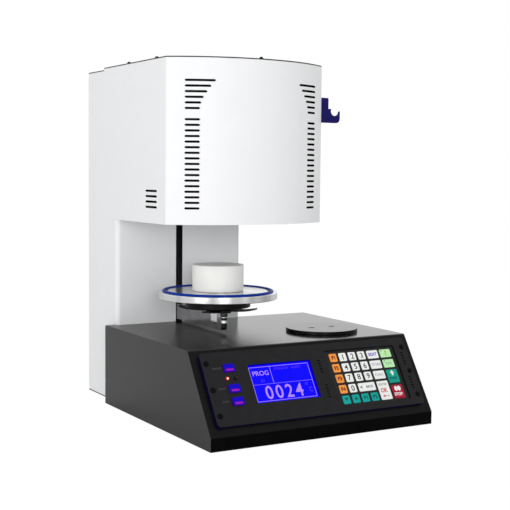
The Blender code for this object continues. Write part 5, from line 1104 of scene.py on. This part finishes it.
polish_tint.color_ramp.elements[1].color = (0.92, 0.925, 0.93, 1.0)
polish_links.new(turning.outputs["Fac"], polish_tint.inputs["Fac"])
# Painted reflections: light and dark sectors round the axis, with a painted highlight where the
# studio lamps would show, scale the turned rings' colour.
reflection_angle = polish.new("ShaderNodeTexGradient")
reflection_angle.gradient_type = "RADIAL"
polish_links.new(polish_centre.outputs[0], reflection_angle.inputs["Vector"])
painted_reflection_ramp = polish.new("ShaderNodeValToRGB")
painted_reflection_shades = (
    (0.00, 0.90), (0.05, 0.86), (0.062, 0.72), (0.075, 0.86), (0.11, 0.78), (0.125, 0.60),
    (0.160, 0.56), (0.175, 0.80), (0.181, 1.0), (0.200, 1.0), (0.210, 0.66), (0.232, 0.72),
    (0.245, 0.92), (0.262, 0.62), (0.285, 0.74), (0.31, 0.54), (0.335, 0.66), (0.35, 0.92),
    (0.55, 0.70), (0.70, 0.92), (0.84, 0.70), (1.00, 0.80),
)
stops = painted_reflection_ramp.color_ramp.elements
stops[0].position, stops[1].position = painted_reflection_shades[0][0], painted_reflection_shades[-1][0]
for position, _ in painted_reflection_shades[1:-1]:
    stops.new(position)
for stop, (_, shade) in zip(stops, painted_reflection_shades):
    stop.color = (shade, shade, shade, 1.0)
polish_links.new(reflection_angle.outputs["Fac"], painted_reflection_ramp.inputs["Fac"])
turning_times_reflection = polish.new("ShaderNodeVectorMath")
turning_times_reflection.operation = "SCALE"
polish_links.new(polish_tint.outputs["Color"], turning_times_reflection.inputs[0])
polish_links.new(painted_reflection_ramp.outputs["Color"], turning_times_reflection.inputs["Scale"])
polish_links.new(turning_times_reflection.outputs[0], polish_shader.inputs["Base Color"])
polish_gloss = polish.new("ShaderNodeMapRange")
polish_gloss.inputs["To Min"].default_value = 0.16
polish_gloss.inputs["To Max"].default_value = 0.26
polish_links.new(turning.outputs["Fac"], polish_gloss.inputs["Value"])
polish_links.new(polish_gloss.outputs[0], polish_shader.inputs["Roughness"])
polish_relief = polish.new("ShaderNodeBump")
polish_relief.inputs["Strength"].default_value = 0.4
polish_relief.inputs["Distance"].default_value = 0.000004
polish_links.new(turning.outputs["Fac"], polish_relief.inputs["Height"])
polish_links.new(polish_relief.outputs[0], polish_shader.inputs["Normal"])


def arc(radius, start, sweep, steps):
    """Return points of radius and height round the seal's circle."""
    angles = [start + sweep * step / steps for step in range(steps + 1)]
    return [
        (ring_radius + radius * math.cos(angle), shelf_top + radius * math.sin(angle))
        for angle in angles
    ]


disc = turned(
    [(0, plateau_top), (plateau_radius, plateau_top), (shelf_start, shelf_top)]
    + arc(groove, math.pi, math.pi, 12)
    + [(disc_radius, shelf_top), (disc_radius, 0.0), (0, 0)],
    disc_foot,
    disc_steps,
)
outer = [
    edge
    for edge in disc.edges
    if all(
        math.hypot(vert.co.x - axis_x, vert.co.y - axis_y) > disc_radius * 0.99
        for vert in edge.verts
    )
    and edge.calc_face_angle() > rim_turn
]
round_edges(disc, outer, width=0.0011, steps=4)
piece("platform_disc", disc, steel_polish, "platform_assembly", "polished_steel", "platform")

silicone = coat(
    "blue_silicone", (0.002, 0.024, 0.25), (0.003, 0.038, 0.31), gloss=(0.34, 0.46), grain=1400.0,
    relief=0.00001, shine=0.06,
)
seal = turned(arc(wire, 0.0, math.tau, 16)[:-1], disc_foot, disc_steps, closed=True)
piece("seal_ring", seal, silicone, "platform_assembly", "blue_silicone", "platform_seal")
eased("seat_disc", "platform_seat", leaf_black, "platform_assembly", "panel_black", width=0.0005)

low, high, _ = box_of("firing_pedestal")
tall = high[2] - low[2]
firebrick = coat(
    "pedestal_ceramic", (0.88, 0.88, 0.85), (0.84, 0.84, 0.815), gloss=(0.42, 0.55), grain=700.0,
    relief=0.00003,
)
block = turned(
    [(0, tall), (pedestal_radius, tall), (pedestal_radius, 0.0), (0, 0.0)],
    (axis_x, axis_y, low[2]),
    steps=128,
)
firebrick_shader = firebrick.node_tree.nodes["Principled BSDF"]
firebrick_shader.inputs["Subsurface Weight"].default_value = 0.7
firebrick_shader.inputs["Subsurface Radius"].default_value = (1.0, 1.0, 0.95)
firebrick_shader.inputs["Subsurface Scale"].default_value = 0.012
piece("pedestal_block", ease(block, width=0.0013, steps=4), firebrick, "pedestal", "ceramic",
      "firing_pedestal")

# Firing chamber
# A machined flange closes the mouth against the seal; above it a pot coated
# heat-proof black holds the fibre muffle, its heating coil and thermocouple.
fibre = coat(
    "muffle_fibre", (0.80, 0.77, 0.70), (0.70, 0.66, 0.58), gloss=(0.88, 0.96), grain=500.0,
    relief=0.00015,
)
heater = coat(
    "heater_wire", (0.22, 0.19, 0.17), (0.32, 0.28, 0.25), gloss=(0.45, 0.6), grain=1500.0,
    relief=0.00001, metal=0.8,
)
eased("flange", "seal_flange", milled_alloy, "housing", "aluminium", width=0.0005)
pot_black = coat(
    "pot_black", (0.006, 0.006, 0.006), (0.010, 0.010, 0.010), gloss=(0.6, 0.8), grain=500.0,
    relief=0.00002, shine=0.1,
)
dress(pot_black, "vacuum_pot")
eased("muffle_block", "muffle", fibre, "housing", "fibre", width=0.0008)
dress(heater, "heating_coil")
dress(firebrick, "thermocouple")

# Lift drive
# A folded steel frame in the column holds the motor, two ground guide rods
# and the lead screw that the carriage's nut climbs.
drive_steel = coat(
    "drive_steel", (0.42, 0.43, 0.45), (0.50, 0.51, 0.53), gloss=(0.26, 0.4), grain=700.0,
    relief=0.000008, metal=1.0, stretch=(1.0, 1.0, 0.15),
)
dress(drive_steel, "drive_frame", "guide_rod_left", "guide_rod_right", "lead_screw")
dress(screw_black, "lift_motor")
dress(milled_alloy, "motor_coupling")

# Rear fittings
# The fan draws through the grille; the mains inlet with its rocker and the
# brass barb of the vacuum line sit in the rear cover.
moulded_black = coat(
    "moulded_black", (0.016, 0.016, 0.017), (0.024, 0.024, 0.025), gloss=(0.35, 0.5), grain=1200.0,
    relief=0.00002,
)
rocker_black = coat(
    "rocker_black", (0.022, 0.022, 0.023), (0.030, 0.030, 0.031), gloss=(0.22, 0.32), grain=1200.0,
    relief=0.00001,
)
hose_rubber = coat(
    "hose_rubber", (0.014, 0.014, 0.014), (0.024, 0.024, 0.023), gloss=(0.6, 0.75), grain=900.0,
    relief=0.00003,
)
dress(moulded_black, "fan_frame", "fan_rotor")
eased("inlet_body", "mains_inlet", moulded_black, "housing", "black_plastic", width=0.0003)
eased("rocker_cap", "switch_rocker", rocker_black, "rocker", "black_plastic", width=0.0005)
eased("vacuum_barb", "vacuum_port", brass, "housing", "brass", width=0.0002)
dress(hose_rubber, "vacuum_hose")

# Electrics in the base
# A laminated transformer stands at the right rear of the pan, and the control
# board stands on four posts in front of it.
core_steel = coat(
    "core_steel", (0.040, 0.040, 0.042), (0.060, 0.060, 0.063), gloss=(0.4, 0.55), grain=600.0,
    relief=0.00003, metal=0.6, stretch=(1.0, 1.0, 8.0),
)
dress(core_steel, "transformer")
dress(board_green, "control_board")
